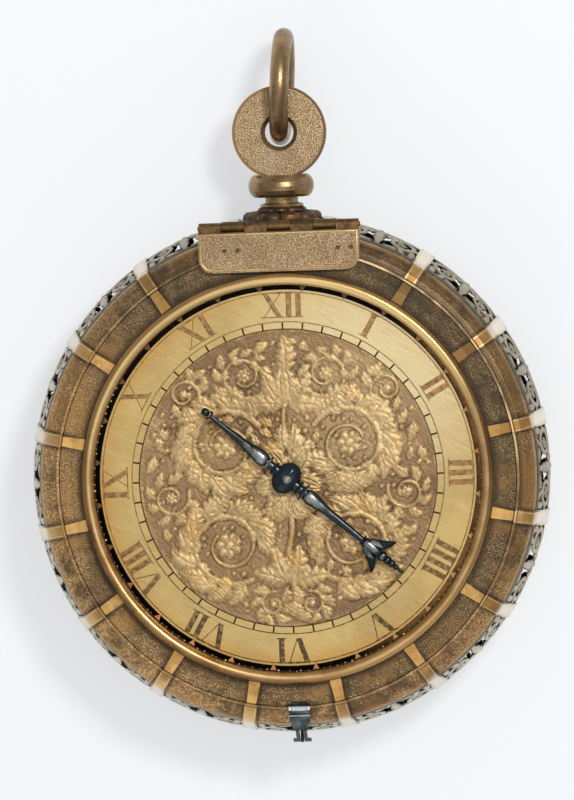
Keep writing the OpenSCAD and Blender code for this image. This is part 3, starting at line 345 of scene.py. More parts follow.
def punched_metal(name, rim=None, smooth_above=None):
    """Metal with a ground of small punch marks, dark in the pits.

    It is smooth and brown on a round rim, given as (x, y, radius), lighter at the left and darker
    at the right as painted light and shade, or where y is above smooth_above."""
    f = Finish(name)
    speckle = f.speckles(4500)
    f.tone = f.ramp(speckle, (0.38, (56, 44, 33)), (0.56, (124, 101, 73)),
                    (0.84, (182, 156, 120)))
    f.coat((52, 40, 30), f.cells(1500).fall(0.0, 0.26, 0.7))
    f.coat((112, 88, 60), f.noise(140, 4, 0.6).rise(0.4, 0.7, 0.4))
    f.coat((164, 143, 112), f.noise(60, 3, 0.6).rise(0.5, 0.7, 0.35))
    if rim:
        x, y, radius = rim
        smooth = f.radius(x, y).rise(radius - 0.6, radius - 0.35)
        # On the rim, painted light at the left and painted shade at the right
        brown = f.mix(f.toward(180).rise(-0.05, 0.05), (108, 82, 54), (144, 112, 72))
    else:
        smooth = f.across(1).rise(smooth_above - 0.2, smooth_above)
        brown = f.mix(f.noise(420, 4, 0.7).rise(0.4, 0.65), (84, 64, 42), (132, 100, 62))
    f.coat(brown, smooth)
    f.finish(0.85, speckle.fall(0.4, 0.9, 0.56, 0.38), speckle * (1.0 - smooth), 0.06)


def flange_metal():
    """The cover: matted and dark inside the raised line, smoother and brown outside it; painted
    light and shade by side, painted shade beside the line, the straps and the bezel, and a painted
    highlight on the line.
    """
    f = Finish("cover_matted_bronze")
    r = f.radius()
    inner = r.fall(RIDGE_R - 0.5, RIDGE_R - 0.2)
    speckle = f.speckles(4300)
    matted = f.ramp(speckle, (0.4, (46, 38, 30)), (0.58, (92, 73, 50)),
                    (0.74, (126, 100, 67)), (0.92, (182, 152, 108)))
    grain = f.noise(2300, 4, 0.8)
    smooth = f.ramp(grain, (0.36, (78, 58, 38)), (0.5, (142, 107, 67)), (0.64, (206, 162, 108)))
    # A lighter copy of the smooth tone, laid on towards the lower left as painted light
    light = f.ramp(grain, (0.36, (112, 84, 54)), (0.5, (192, 148, 97)), (0.62, (244, 206, 150)))
    smooth = f.mix(f.toward(228).rise(-0.95, 0.25, 0.85), smooth, light)
    f.tone = f.mix(inner, smooth, matted)
    # Dark mottled patina, a touch less of it towards the lower left as painted light
    patch = (f.noise(85, 5, 0.62) * 0.6 + f.noise(300, 4, 0.65) * 0.4
             + f.toward(205).rise(0.0, 0.9, 0.01))
    f.coat((62, 53, 41), patch.fall(0.42, 0.55, 0.7))
    f.coat((158, 118, 68), f.noise(120, 5, 0.66).rise(0.48, 0.64, 0.6))
    # Painted shade towards the top
    f.coat((70, 61, 48), f.toward(80).rise(0.0, 0.9, 0.5))
    # Painted shade on the matted zone towards the right
    f.coat((58, 48, 37), f.toward(-16).rise(0.3, 0.95, 0.35) * inner)
    # Painted light on the matted zone towards the left
    f.coat((190, 146, 92), f.toward(190).rise(0.3, 0.9, 0.12) * inner)
    # Painted shadow just outside the raised line, strongest towards the upper right
    ridge_shadow = r.fall(RIDGE_R + 0.5, RIDGE_R + 1.9, 0.72) * (1.0 - inner)
    f.coat((66, 54, 40), ridge_shadow * f.toward(45).rise(-0.2, 0.8, 1.0, 0.3))
    edge = r.rise(CASE_R - 1.2, CASE_R - 0.35)
    f.coat((176, 140, 92), edge * f.noise(140, 4).rise(0.38, 0.6, 0.75, 0.1))
    # Painted shade beside the straps and, inside the raised line, near the bezel
    strap_shade = f.off_strap().fall(1.2, 2.4) * f.noise(160, 3).rise(0.3, 0.6, 0.85, 0.35)
    bezel_shade = r.fall(BEZEL_IN_R + 2.6, BEZEL_IN_R + 4.0, 0.7) * inner
    f.coat((58, 47, 35), f.sum("MAXIMUM", strap_shade, bezel_shade))
    # Painted highlight on the raised line, towards the upper right
    ridge_highlight = f.noise(110, 4).rise(0.42, 0.58, 0.9, 0.2) * f.toward(45).rise(0.5, 0.95, 1.0, 0.1)
    f.coat((232, 198, 146), abs(r - RIDGE_R).fall(0.12, 0.34) * ridge_highlight)
    f.finish(0.82, inner * 0.08 + 0.42, speckle * (inner * 0.5 + 0.5), 0.07)


def strap_metal():
    """Gilt straps, lined along each side, darker at the top as painted shade, pale where they bend
    down as a painted reflection, with painted light at the left and a painted highlight on the
    raised line.
    """
    f = Finish("strap_gilding")
    r = f.radius()
    off = f.off_strap()
    f.tone = f.mix(f.noise(120, 5, 0.65).rise(0.36, 0.64), (176, 132, 74), (212, 168, 102))
    f.coat((120, 88, 50), f.noise(3600, 3, 0.7).rise(0.5, 0.75, 0.4))
    # Painted shade: darker towards the top, most inside the raised line
    top_shade = f.toward(70).rise(0.3, 0.9)
    f.coat((116, 88, 54), top_shade * r.fall(RIDGE_R - 0.2, RIDGE_R + 2.6, 0.85, 0.3))
    f.coat((128, 96, 58), f.noise(260, 4, 0.7).rise(0.5, 0.7, 0.5))
    # Painted reflection: pale where the straps bend down over the band, most towards the lower
    # left, and less metallic there
    pale = r + f.noise(420, 3) * 1.4 + f.toward(235).rise(-0.6, 0.4, 0.8)
    pale = (pale.rise(CASE_R + 0.1, CASE_R + 1.6, 0.94)
            * f.across(2).rise(BAND_MID - 4, BAND_MID + 2, 1.0, 0.1))
    f.coat((240, 232, 216), pale)
    # Painted light: bright gold towards the left on the outer part
    left = f.toward(215).rise(0.0, 0.8, 0.6) * r.rise(RIDGE_R + 0.8, RIDGE_R + 2.4)
    f.coat((246, 206, 150), left * r.fall(CASE_R - 0.7, CASE_R + 0.3))
    outer = r.rise(RIDGE_R + 0.2, RIDGE_R + 0.6)
    side = off.rise(1.1, 1.32, 0.75) * outer
    f.coat((84, 68, 48), side * r.fall(CASE_R + 0.4, CASE_R + 1.2, 1.0, 0.3))
    f.coat((232, 206, 160), abs(off - 1.0).fall(0.04, 0.14, 0.7) * outer)
    away = abs(r - RIDGE_R)
    f.coat((84, 62, 38), away.fall(0.2, 0.5, 0.7))
    # Painted highlight where the straps cross the raised line, towards the upper right
    f.coat((236, 204, 152), away.fall(0.08, 0.22) * f.toward(50).rise(-0.2, 0.9, 0.9, 0.25))
    rough = f.noise(300, 4, 0.6).rise(0.3, 0.75, 0.5, 0.32)
    f.finish(0.88 - pale * 0.5, rough, f.noise(3600, 3, 0.6))


def bezel_metal():
    """The bezel's bead: bright gold on its inner side, brown outside, with painted light at the top
    and lower right, and painted shade at the right and at its foot.
    """
    f = Finish("bezel_gilding")
    # Painted light: both tones lighter towards the top
    up = f.toward(95).rise(-0.2, 0.8)
    gold = f.mix(f.noise(110, 4, 0.6).rise(0.4, 0.62), (172, 130, 80), (204, 166, 114))
    gold = f.mix(up, gold, (236, 204, 142))
    f.tone = f.mix(f.noise(160, 5, 0.65).rise(0.38, 0.62), (112, 82, 50), (150, 114, 70))
    f.coat((184, 146, 92), up * 0.8)
    # Painted highlight towards the lower right
    f.coat((222, 178, 118), f.toward(318).rise(0.6, 0.95, 0.9))
    # Painted shade towards the right
    f.coat((96, 72, 44), f.toward(5).rise(0.6, 1.0, 0.6))
    place = f.radius() + f.noise(70, 3) * 0.7
    f.tone = f.mix(place.rise(BEZEL_IN_R + 1.0, BEZEL_IN_R + 1.9), gold, f.tone)
    f.coat((110, 84, 54), f.noise(3200, 3, 0.7).rise(0.54, 0.74, 0.2))
    # Painted shade at the foot of the bead, down in the gap
    f.coat((58, 44, 30), f.across(2).fall(*BEZEL_FOOT_Z, 0.85))
    f.finish(0.9, f.noise(380, 4, 0.6).rise(0.3, 0.72, 0.38, 0.26), f.noise(1200, 2, 0.6), 0.006)


def tooth_metal():
    """The ring of teeth: near black at its root as painted shade of the gap, gold brown on the
    teeth, with painted shade towards the upper left.
    """
    f = Finish("teeth_and_gap_shade")
    # Painted shade: near black at the root of the teeth, down in the gap
    root = f.radius().rise(BEZEL_IN_R - 0.5, BEZEL_IN_R - 0.15)
    f.tone = f.mix(root, (186, 136, 86), (40, 32, 24))
    # Painted shade towards the upper left
    f.coat((62, 46, 30), f.toward(130).rise(-0.3, 0.5, 0.8))
    f.coat((96, 68, 44), f.noise(2600, 3, 0.7).rise(0.5, 0.72, 0.6))
    f.finish(0.8, 0.42, f.noise(2600, 3), 0.03)


def hour_ring_metal(gilding):
    """Pale gilding with a diagonal brushed grain and a painted pool of light at the upper right;
    the engraving is filled with dark wax, painted lighter towards the top and streaked with painted
    highlights.
    """
    f = Finish("hour_ring_gilding")
    r = f.radius()
    f.tone = f.mix(f.noise(55, 5, 0.6).rise(0.38, 0.66), (184, 156, 102), gilding)
    # Painted pool of light at the upper right
    f.coat((222, 204, 160), f.radius(19, 24).fall(8, 34, 0.75))
    edge = r.rise(33.5, 37.3) * f.toward(215).rise(-0.7, 0.6, 0.7, 0.1)
    f.coat((194, 142, 66), edge * f.noise(40, 3).rise(0.3, 0.6, 1.0, 0.4))
    brush = f.noise(100, 4, 0.65, f.stretched((3, 46, 3), -28))
    f.coat((220, 200, 154), brush.rise(0.5, 0.7, 0.3))
    f.coat((168, 128, 66), brush.fall(0.32, 0.46, 0.3))
    f.coat((150, 112, 60), f.noise(3400, 3, 0.7).rise(0.56, 0.74, 0.4))
    # The wax: painted lighter towards the top and darker towards the bottom, with dark patches and
    # streaks of painted highlight
    wax = f.mix(f.toward(95).rise(-0.95, -0.1), (88, 70, 48), (156, 120, 76))
    wax = f.mix(f.noise(900, 3).rise(0.46, 0.62, 0.5), wax, (84, 64, 44))
    wax = f.mix(f.noise(1300, 3).rise(0.48, 0.62, 0.45), wax, (190, 158, 106))
    deep = f.across(2).fall(*ENGRAVED_Z)
    f.coat(f.mix(r.rise(31.0, 31.1), (52, 42, 30), wax), deep)
    f.coat((58, 44, 30), r.fall(RELIEF_R + 0.15, RELIEF_R + 0.35))
    f.finish(0.86, brush.rise(0.35, 0.7, 0.44, 0.3) + deep * 0.2, brush + f.noise(3000, 2), 0.015)


def foliage_metal():
    """The relief: brown in the ground, gold on what stands out of it, engraved all over; painted
    light at the upper right and lower left, painted highlights on the crests and painted shade in
    the grooves.
    """
    f = Finish("dial_foliage_gilding")
    z = f.across(2)
    hatch = f.out("ShaderNodeTexWave", {
        "Vector": f.place, "Scale": 520.0, "Distortion": 16.0, "Detail": 3.0,
        "Detail Scale": 0.5}, "Fac", bands_direction="DIAGONAL")
    flow = f.noise(420, 4, 0.62, distortion=1.4)
    ground = f.ramp(f.noise(2600, 4, 0.7), (0.34, (122, 97, 68)), (0.52, (154, 124, 89)),
                    (0.74, (188, 155, 113)))
    ground = f.mix(f.noise(90, 4).rise(0.42, 0.62, 0.6), ground, (130, 101, 76))
    f.tone = f.ramp(flow, (0.3, (162, 133, 88)), (0.48, (189, 158, 109)), (0.68, (212, 183, 132)))
    f.coat((200, 154, 80), f.noise(150, 4, 0.6).rise(0.56, 0.68, 0.6))
    f.coat((166, 138, 98), f.noise(70, 4).rise(0.48, 0.66, 0.55))
    raised = (z + flow * 0.12).rise(RELIEF_TOP, RELIEF_TOP + 0.2)
    f.tone = f.mix(raised, ground, f.tone)
    # Painted pool of light at the upper right
    f.coat((214, 186, 138), f.radius(15, 15).fall(4, 22, 0.4))
    # Painted light towards the lower left
    f.coat((216, 180, 124), f.toward(205).rise(0.1, 0.9, 0.15))
    # Painted highlight on the highest crests
    crest = z.rise(RELIEF_TOP + 0.26, RELIEF_TOP + 0.42, 0.4)
    f.coat((236, 212, 166), crest * f.noise(170, 3).rise(0.42, 0.6))
    f.coat((106, 80, 54), hatch.fall(0.08, 0.3, 0.45) * f.noise(240, 3).rise(0.4, 0.6, 1.0, 0.3))
    # Painted shade in the grooves cut below the ground
    f.coat((78, 59, 42), z.fall(RELIEF_TOP - 0.2, RELIEF_TOP - 0.1, 0.7))
    height = hatch * 0.3 + (f.noise(3400, 3, 0.7) * 0.7 + flow)
    f.finish(0.8, raised.fall(0.0, 1.0, 0.6, 0.5), height, 0.04)


def steel_metal(name, light, dark, gloss, boss=None):
    """Polished steel, black in patches, with hairline scratches.

    With a boss colour it is the hand: painted light along its top and painted shade down its sides,
    blue black in its middle."""
    f = Finish(name)
    share = f.noise(160, 5, 0.65).rise(0.4, 0.62)
    if boss:
        # For the hand, painted light and shade: the light tone along its top, the dark one down its
        # sides
        top = f.across(2) + f.noise(500, 4, 0.7) * 0.9
        share = top.rise(HAND_Z + 1.1, HAND_Z + 1.7)
    f.tone = f.mix(share, dark, light)
    f.coat((40, 38, 34), f.noise(1400, 4, 0.7).rise(0.56, 0.7, 0.6))
    if boss:
        f.tone = f.mix(f.radius().rise(BOSS_R + 0.6, BOSS_R + 1.4), boss, f.tone)
    lines = f.noise(80, 3, 0.6, f.stretched((4, 60, 12), 41))
    f.finish(1.0, lines.rise(0.35, 0.7, gloss + 0.16, gloss), lines + f.noise(2400, 2), 0.01)


def catch_metal():
    """The catch: green grey steel with two bright lines across it as painted highlights and dark
    lines as painted reflections, black at its head.
    """
    f = Finish("catch_steel")
    y = f.across(1)
    f.tone = f.mix(f.noise(300, 4, 0.65).rise(0.4, 0.62), (66, 74, 74), (112, 122, 120))
    f.coat((48, 46, 40), y.fall(-50.6, -49.2, 0.7))
    for middle, half, colour in CATCH_HIGHLIGHTS_AND_LINES:
        f.coat(colour, abs(y - middle).fall(half * 0.6, half * 1.3, 0.92))
    f.coat((40, 40, 36), f.noise(1400, 4, 0.7).rise(0.54, 0.7, 0.5))
    f.finish(0.95, 0.3, f.noise(2400, 2), 0.01)


def silver_metal(grey):
    """Openwork: pale on the crests of its outer faces, black in the depth as painted shade and
    black on the rails, and darker towards the upper right as painted shade.
    """
    f = Finish("band_grey_metal")
    half = (BAND_TOP - BAND_LOW) / 2
    height = (f.parts()[2] - BAND_MID * MM) / (half * MM)
    proud = f.radius() - (BAND_R - height * height * BAND_BULGE)
    f.tone = f.mix(f.noise(160, 4).rise(0.42, 0.66, 0.4), grey, (176, 158, 130))
    # Painted shade towards the upper right
    f.coat((142, 132, 110), f.toward(60).rise(-0.5, 0.8, 0.6))
    # Painted shade: black where the openwork sinks below its outer face
    depth_shade = proud + f.noise(700, 4, 0.7) * 0.5
    f.coat((38, 35, 28), depth_shade.fall(-0.16, 0.26, 0.97))
    rail = abs(height).rise(1 - 0.9 / half, 1 - RAIL / half, 0.75)
    f.coat((46, 38, 28), rail)
    rough = f.noise(500, 3).rise(0.3, 0.7, 0.54, 0.34)
    f.put(f.shader.inputs["Specular IOR Level"], 0.15)
    bright = f.sum("MAXIMUM", depth_shade.rise(-0.16, 0.26) * (0.75 - rail), 0.1)
    f.finish(bright, rough, f.noise(2000, 4, 0.65), 0.03)


# Worn metals: tone where whole, tone where worn, gloss, share of dark spots
WORN = {
    "line_brass": ((228, 196, 142), (190, 156, 108), 0.44, 0.3),
    "rim_brass": ((164, 128, 78), (118, 90, 56), 0.34, 0.5),
    "brown_brass": ((170, 139, 99), (128, 103, 73), 0.28, 0.6),
    "hinge_brass": ((112, 88, 56), (88, 68, 42), 0.46, 0.6),
    "rivet_patina": ((92, 74, 52), (70, 57, 42), 0.4, 0.5),
    "case_back_gilding": ((190, 148, 88), (150, 112, 64), 0.34, 0.5),
    "bell_bronze": ((150, 122, 80), (116, 92, 58), 0.4, 0.5),
}
# Painted highlights and dark painted reflections across the catch: the y of the middle, half width,
# colour
CATCH_HIGHLIGHTS_AND_LINES = ((-45.9, 0.42, (232, 236, 236)), (-47.35, 0.1, (206, 212, 212)),
               (-47.0, 0.12, (34, 36, 36)), (-45.1, 0.3, (30, 31, 30)))


# Shapes

def turned(outline, steps=48, close=False):
    """Spins (radius, height) points a full turn about Z."""
    bm = bmesh.new()
    verts = [bm.verts.new((r, 0, h)) for r, h in outline]
    pairs = list(zip(verts, verts[1:])) + ([(verts[-1], verts[0])] if close else [])
    edges = [bm.edges.new(pair) for pair in pairs]
    bmesh.ops.spin(bm, geom=verts + edges, cent=(0, 0, 0), axis=(0, 0, 1), angle=2 * math.pi,
                   steps=steps, use_merge=True)
    bmesh.ops.remove_doubles(bm, verts=bm.verts, dist=1e-4)
    return bm


def rod(path, widths, height, sides=8, closed=False):
    """A stem along a flat path: a ring of edges extruded from point to point.

    widths are the half widths at its two ends, height the half height."""
    count = len(path)

    def stand(i):
        if closed:
            way = path[(i + 1) % count] - path[(i - 1) % count]
        else:
            way = path[min(i + 1, count - 1)] - path[max(i - 1, 0)]
        way = way.normalized()
        up = Vector((0, 0, 1))
        side = way.cross(up).normalized()
        share = 0 if closed else i / (count - 1)
        half = widths[0] + (widths[1] - widths[0]) * share
        turn = Matrix((side * half, up * height, way)).transposed().to_4x4()
        return Matrix.Translation(path[i % count]) @ turn

    bm = bmesh.new()
    bmesh.ops.create_circle(bm, segments=sides, radius=1.0, matrix=stand(0))
    first = list(bm.edges)
    edges = first
    for i in range(1, count + (1 if closed else 0)):
        grown = bmesh.ops.extrude_edge_only(bm, edges=edges)["geom"]
        ring = [g for g in grown if isinstance(g, bmesh.types.BMVert)]
        inside = set(ring)
        edges = [g for g in grown if isinstance(g, bmesh.types.BMEdge)
                 and g.verts[0] in inside and g.verts[1] in inside]
        bmesh.ops.transform(bm, matrix=stand(i % count) @ stand(i - 1).inverted(), verts=ring)
    if closed:
        bmesh.ops.remove_doubles(bm, verts=bm.verts, dist=1e-4)
    else:
        bmesh.ops.contextual_create(bm, geom=first)
        bmesh.ops.contextual_create(bm, geom=edges)
    return bm


def leaf(length, width, height, lobes=0, curl=0.0, thick=0.25, along=12, across=4, lift=0.0):
    """A crowned leaf along +X with a vein down its middle, flat and closed below."""
    bm = bmesh.new()
    bmesh.ops.create_grid(bm, x_segments=along, y_segments=across, size=1.0)
    grown = bmesh.ops.extrude_face_region(bm, geom=list(bm.faces), use_keep_orig=True)["geom"]
    top = {g for g in grown if isinstance(g, bmesh.types.BMVert)}
    for v in bm.verts:
        u, t = (v.co.x + 1) / 2, v.co.y
        half = width / 2 * math.sin(math.pi * u ** 0.75) ** 0.7 if 0 < u < 1 else 0.0
        if lobes:
            half *= 1 - 0.34 * (1 - abs(math.sin(lobes * math.pi * u)))
        bend = curl * u
        if abs(curl) > 1e-3:
            x, y = length * math.sin(bend) / curl, length * (1 - math.cos(bend)) / curl
        else:
            x, y = length * u, 0.0
        z = 0.0
        if v in top:
            crown = math.sin(math.pi * (0.08 + 0.84 * u)) ** 0.6
            vein = 0.3 if abs(t) < 0.05 else 0.0
            z = thick + height * crown * (1 - 0.8 * t * t - vein)
        v.co = (x - math.sin(bend) * half * t, y + math.cos(bend) * half * t,
                z + lift * u * u)
    bmesh.ops.remove_doubles(bm, verts=bm.verts, dist=1e-4)
    return bm


def dome(radius, height, segments=10):
    """A flattened ball, to be sunk by half."""
    bm = bmesh.new()
    bmesh.ops.create_uvsphere(bm, u_segments=segments, v_segments=6, radius=1.0)
    bmesh.ops.scale(bm, vec=(radius, radius, height), verts=bm.verts)
    return bm


def scroll_path(radius, turns, end, steps, start=0.0):
    """Points of a spiral that winds in from radius to end."""
    points = []
    for i in range(steps + 1):
        k = i / steps
        r = radius + (end - radius) * k ** 0.85
        a = start + 2 * math.pi * turns * k
        points.append(Vector((r * math.cos(a), r * math.sin(a), 0)))
    return points


def at(x=0.0, y=0.0, z=0.0, turn=0.0, size=1.0, flip=False):
    """Matrix that flips, sizes, turns about Z (degrees) and moves."""
    return (Matrix.Translation((x, y, z)) @ Matrix.Rotation(math.radians(turn), 4, "Z")
            @ Matrix.Diagonal((size, -size if flip else size, size, 1)))


def stamp(target, shape, matrix=None, keep=True):
    """Adds a copy of a shape to a larger mesh."""
    hold = bpy.data.meshes.new("hold")
    shape.to_mesh(hold)
    if matrix is not None:
        hold.transform(matrix)
    target.from_mesh(hold)
    bpy.data.meshes.remove(hold)
    if not keep:
        shape.free()


def flower(petals, radius, height, middle=0.3):
    """Petals around a round middle."""
    bm = bmesh.new()
    petal = leaf(radius * 0.82, radius * 4.4 / petals, height, along=7, thick=height * 0.6)
    for i in range(petals):
        stamp(bm, petal, at(turn=i * 360 / petals) @ Matrix.Translation((radius * 0.18, 0, 0)))
    petal.free()
    stamp(bm, dome(radius * middle, height * 1.9), keep=False)
    return bm


# Chasing: motifs that raise the points of a fine disc

def acanthus(length, half, curl, lobes, height):
    """A curved, lobed leaf along +X; says how far outside its outline a place is, and how high."""
    def shape(x, y):
        big = length / curl
        u = math.atan2(x, big - y) / curl
        t = abs(big - math.hypot(x, big - y))
        if not 0 < u < 1:
            return 1.0, 0.0
        tooth = abs(math.sin(math.pi * (lobes * u - 0.8 * t / half)))
        wide = half * math.sin(math.pi * u ** 0.8) ** 0.7 * (0.64 + 0.36 * tooth ** 0.6)
        if t >= wide:
            return t - wide, 0.0
        crown = (1 - (t / wide) ** 2.4) * (0.5 + 0.5 * math.sin(math.pi * u))
        crease = 0.3 * (1 - tooth) ** 2 * t / wide + 0.34 * math.exp(-((t / 0.17) ** 2))
        return t - wide, height * max(0.22, 0.25 + 0.8 * crown - crease)
    return shape


def blossom(petals, radius, height):
    """A round flower with a raised middle."""
    def shape(x, y):
        out = math.hypot(x, y)
        lobe = abs(math.cos(petals * math.atan2(y, x) / 2))
        wide = radius * (0.66 + 0.34 * lobe ** 0.6)
        middle = 0.3 * radius
        if out < middle:
            return out - wide, height * (0.75 + 0.35 * math.sqrt(1 - (out / middle) ** 2))
        if out >= wide:
            return out - wide, 0.0
        share = (out - middle) / (wide - middle)
        bulge = 0.65 * math.sin(math.pi * (0.15 + 0.75 * share)) * lobe ** 0.5
        return out - wide, height * (0.25 + bulge)
    return shape


def berry_shape(radius, height):
    """A round berry."""
    def shape(x, y):
        out = math.hypot(x, y) / radius
        return (out - 1) * radius, height * math.sqrt(max(0.0, 1 - out * out))
    return shape


class Chasing:
    """The points on the upper face of a disc, found by place."""
    CELL = 1.0
    GROOVE = 0.32

    def __init__(self, bm, ground):
        self.ground = ground
        self.cells = {}
        for v in bm.verts:
            if v.co.z > ground - 0.01:
                cell = (int(v.co.x // self.CELL), int(v.co.y // self.CELL))
                self.cells.setdefault(cell, []).append(v)

    def points(self):
        """All points of the upper face."""
        for found in self.cells.values():
            yield from found

    def near(self, x, y, reach):
        """Points in the cells around a place."""
        def around(c):
            return range(int((c - reach) // self.CELL), int((c + reach) // self.CELL) + 1)
        for i in around(x):
            for k in around(y):
                yield from self.cells.get((i, k), ())

    def lift(self, v, edge, height, level=0.0):
        """Raises a point inside a motif, and cuts a groove just outside it."""
        if edge < 0:
            risen = height * min(1.0, 0.35 - edge / 0.25)
            v.co.z = max(v.co.z, self.ground + level + risen)
        elif edge < self.GROOVE:
            deep = 0.13 * (1 - edge / self.GROOVE)
            v.co.z = max(self.ground - 0.16, v.co.z - deep)

    def press(self, shape, x, y, turn, reach, size=1.0, flip=False, level=0.0):
        """Raises a motif at a place."""
        c, s = math.cos(math.radians(turn)), math.sin(math.radians(turn))
        for v in self.near(x, y, reach * size):
            dx, dy = (v.co.x - x) / size, (v.co.y - y) / size
            if dx * dx + dy * dy < reach * reach:
                along, across = c * dx + s * dy, c * dy - s * dx
                edge, height = shape(along, -across if flip else across)
                self.lift(v, edge * size, height, level)

    def stem(self, points, first, last, height):
        """Raises a round stem along a path."""
        found = {}
        for i, point in enumerate(points):
            half = first + (last - first) * i / len(points)
            for v in self.near(point.x, point.y, half + self.GROOVE):
                edge = math.hypot(v.co.x - point.x, v.co.y - point.y) - half
                if edge < found.get(v, (self.GROOVE, 0))[0]:
                    found[v] = (edge, half)
        for v, (edge, half) in found.items():
            share = min(1.0, max(0.0, (edge + half) / half))
            self.lift(v, edge, height * math.sqrt(1 - share * share))

    def bare(self, x, y, reach):
        """Whether nothing stands near a place."""
        return all(v.co.z < self.ground + 0.14 for v in self.near(x, y, reach)
                   if math.hypot(v.co.x - x, v.co.y - y) < reach)


def make_piece(bm, name, finish, body, replaced=(), sharp=38):
    """Turns a shape in millimetres into a finished piece in metres that rides on a body."""
    bmesh.ops.recalc_face_normals(bm, faces=bm.faces)
    bmesh.ops.scale(bm, vec=(MM, MM, MM), verts=bm.verts)
    mesh = bpy.data.meshes.new(name)
    bm.to_mesh(mesh)
    bm.free()
    mesh.polygons.foreach_set("use_smooth", [True] * len(mesh.polygons))
    mesh.set_sharp_from_angle(angle=math.radians(sharp))
    piece = bpy.data.objects.new(name, mesh)
    bpy.context.scene.collection.objects.link(piece)
    mesh.materials.append(bpy.data.materials[finish])
    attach(piece, body)
    if replaced:
        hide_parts(*replaced)
    return piece


# The node that each finish goes on
FINISH_OF = {
    "cover_matted_bronze": ["cover_flange"],
    "hour_ring_gilding": ["chapter_ring"],
    "dial_foliage_gilding": ["centre_relief"],
    "band_grey_metal": ["case_band"],
    "strap_gilding": ["cover_straps", "side_ribs"],
    "bezel_gilding": ["bezel_ring"],
    "teeth_and_gap_shade": ["prong_ring"],
    "rim_brass": ["front_rim", "back_rim"],
    "eye_brass": ["pendant_eye"],
    "plate_brass": ["hinge_plate"],
    "brown_brass": ["pendant_stem", "pendant_ring"],
    "hinge_brass": ["case_hinge_leaf"],
    "foot_patina": ["pendant_base"],
    "rivet_patina": ["hinge_rivets", "hinge_pin"],
    "case_back_gilding": ["case_back"],
    "hand_steel": ["hour_hand"],
    "post_steel": ["hour_post", "ledge_screws", "cock_screw", "bell_nut", "pendant_nut",
                   "pillar_pins"],
    "catch_steel": ["catch_lever", "catch_lugs", "catch_pin", "catch_stud"],
    "spring_steel": ["going_spring", "strike_spring", "spring_studs", "verge_staff", "hammer",
                     "second_wheel", "contrate_wheel", "crown_wheel", "strike_second_wheel",
                     "ratchet_wheel", "balance_wheel", "great_arbor", "report_pinion", "bell_stud"],
    "movement_brass": ["inner_ledge", "dial_plate", "dial_feet", "hour_wheel", "front_plate",
                       "back_plate", "plate_pillars", "great_wheel", "crown_cocks", "balance_cock",
                       "strike_great_wheel", "fly", "count_wheel"],
    "bell_bronze": ["bell"],
}


class CLOCK_OT_camera(bpy.types.Operator):
    """Set up the camera at the photograph's viewing angle"""
    bl_idname = "clock.camera"
    bl_label = "Camera"

    def execute(self, context):
        roll = math.radians(CAMERA_ROLL)
        middle = Vector(CAMERA_TURNS_ABOUT) * MM
        away = Vector((*(math.sin(math.radians(lean)) for lean in CAMERA_LEANS), 0))
        away.z = math.sqrt(1 - away.length_squared)
        place = middle + away * CAMERA_AWAY
        aim = middle + Vector(CAMERA_AIM) * MM
        back = (place - aim).normalized()
        right = Vector((math.sin(roll), math.cos(roll), 0)).cross(back).normalized()
        data = bpy.data.cameras.new("photo_camera")
        data.lens = CAMERA_LENS
        data.sensor_width = 36
        data.clip_start = 0.01
        camera = bpy.data.objects.new("photo_camera", data)
        turn = Matrix((right, back.cross(right), back)).transposed().to_4x4()
        camera.matrix_world = Matrix.Translation(place) @ turn
        context.scene.collection.objects.link(camera)
        context.scene.camera = camera
        return {"FINISHED"}


class CLOCK_OT_finishes(bpy.types.Operator):
    """Make the finishes and put them on the CAD nodes"""
    bl_idname = "clock.finishes"
    bl_label = "Finishes"

    def execute(self, context):
        colours = context.scene.clock_colours
        for recipe in (flange_metal, strap_metal, bezel_metal, tooth_metal, foliage_metal,
                       catch_metal):
            recipe()
        hour_ring_metal(colours.dial)
        silver_metal(colours.silver)
        punched_metal("eye_brass", rim=(0, EYE_Y, EYE_R))
        punched_metal("plate_brass", smooth_above=PLATE_HIGH.y - 2.0)
        for name, (whole, worn, gloss, spots) in WORN.items():
            worn_metal(name, whole, worn, colours.patina, gloss, spots)
        worn_metal("foot_patina", (124, 86, 54), (66, 62, 48), (38, 40, 32), 0.46, 0.9,
                   metallic=0.75, share=0.56)
        # Movement brass, with painted shade in the dark gap beyond GAP_R
        worn_metal("movement_brass", (206, 168, 92), (178, 140, 74), colours.patina, 0.28, 0.25,
                   gap_shade_beyond=GAP_R)
        steel_metal("hand_steel", (150, 156, 154), (52, 57, 60), 0.18, boss=(52, 61, 66))
        steel_metal("post_steel", (186, 186, 184), (150, 150, 148), 0.16)
        steel_metal("spring_steel", (124, 128, 134), (92, 96, 104), 0.26)
        for finish, nodes in FINISH_OF.items():
            for name in nodes:
                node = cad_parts[name]
                node.data.materials.clear()
                node.data.materials.append(bpy.data.materials[finish])
        bare = sorted(set(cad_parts) - {n for nodes in FINISH_OF.values() for n in nodes})
        if bare:
            raise RuntimeError(f"nodes without a finish: {bare}")
        return {"FINISHED"}


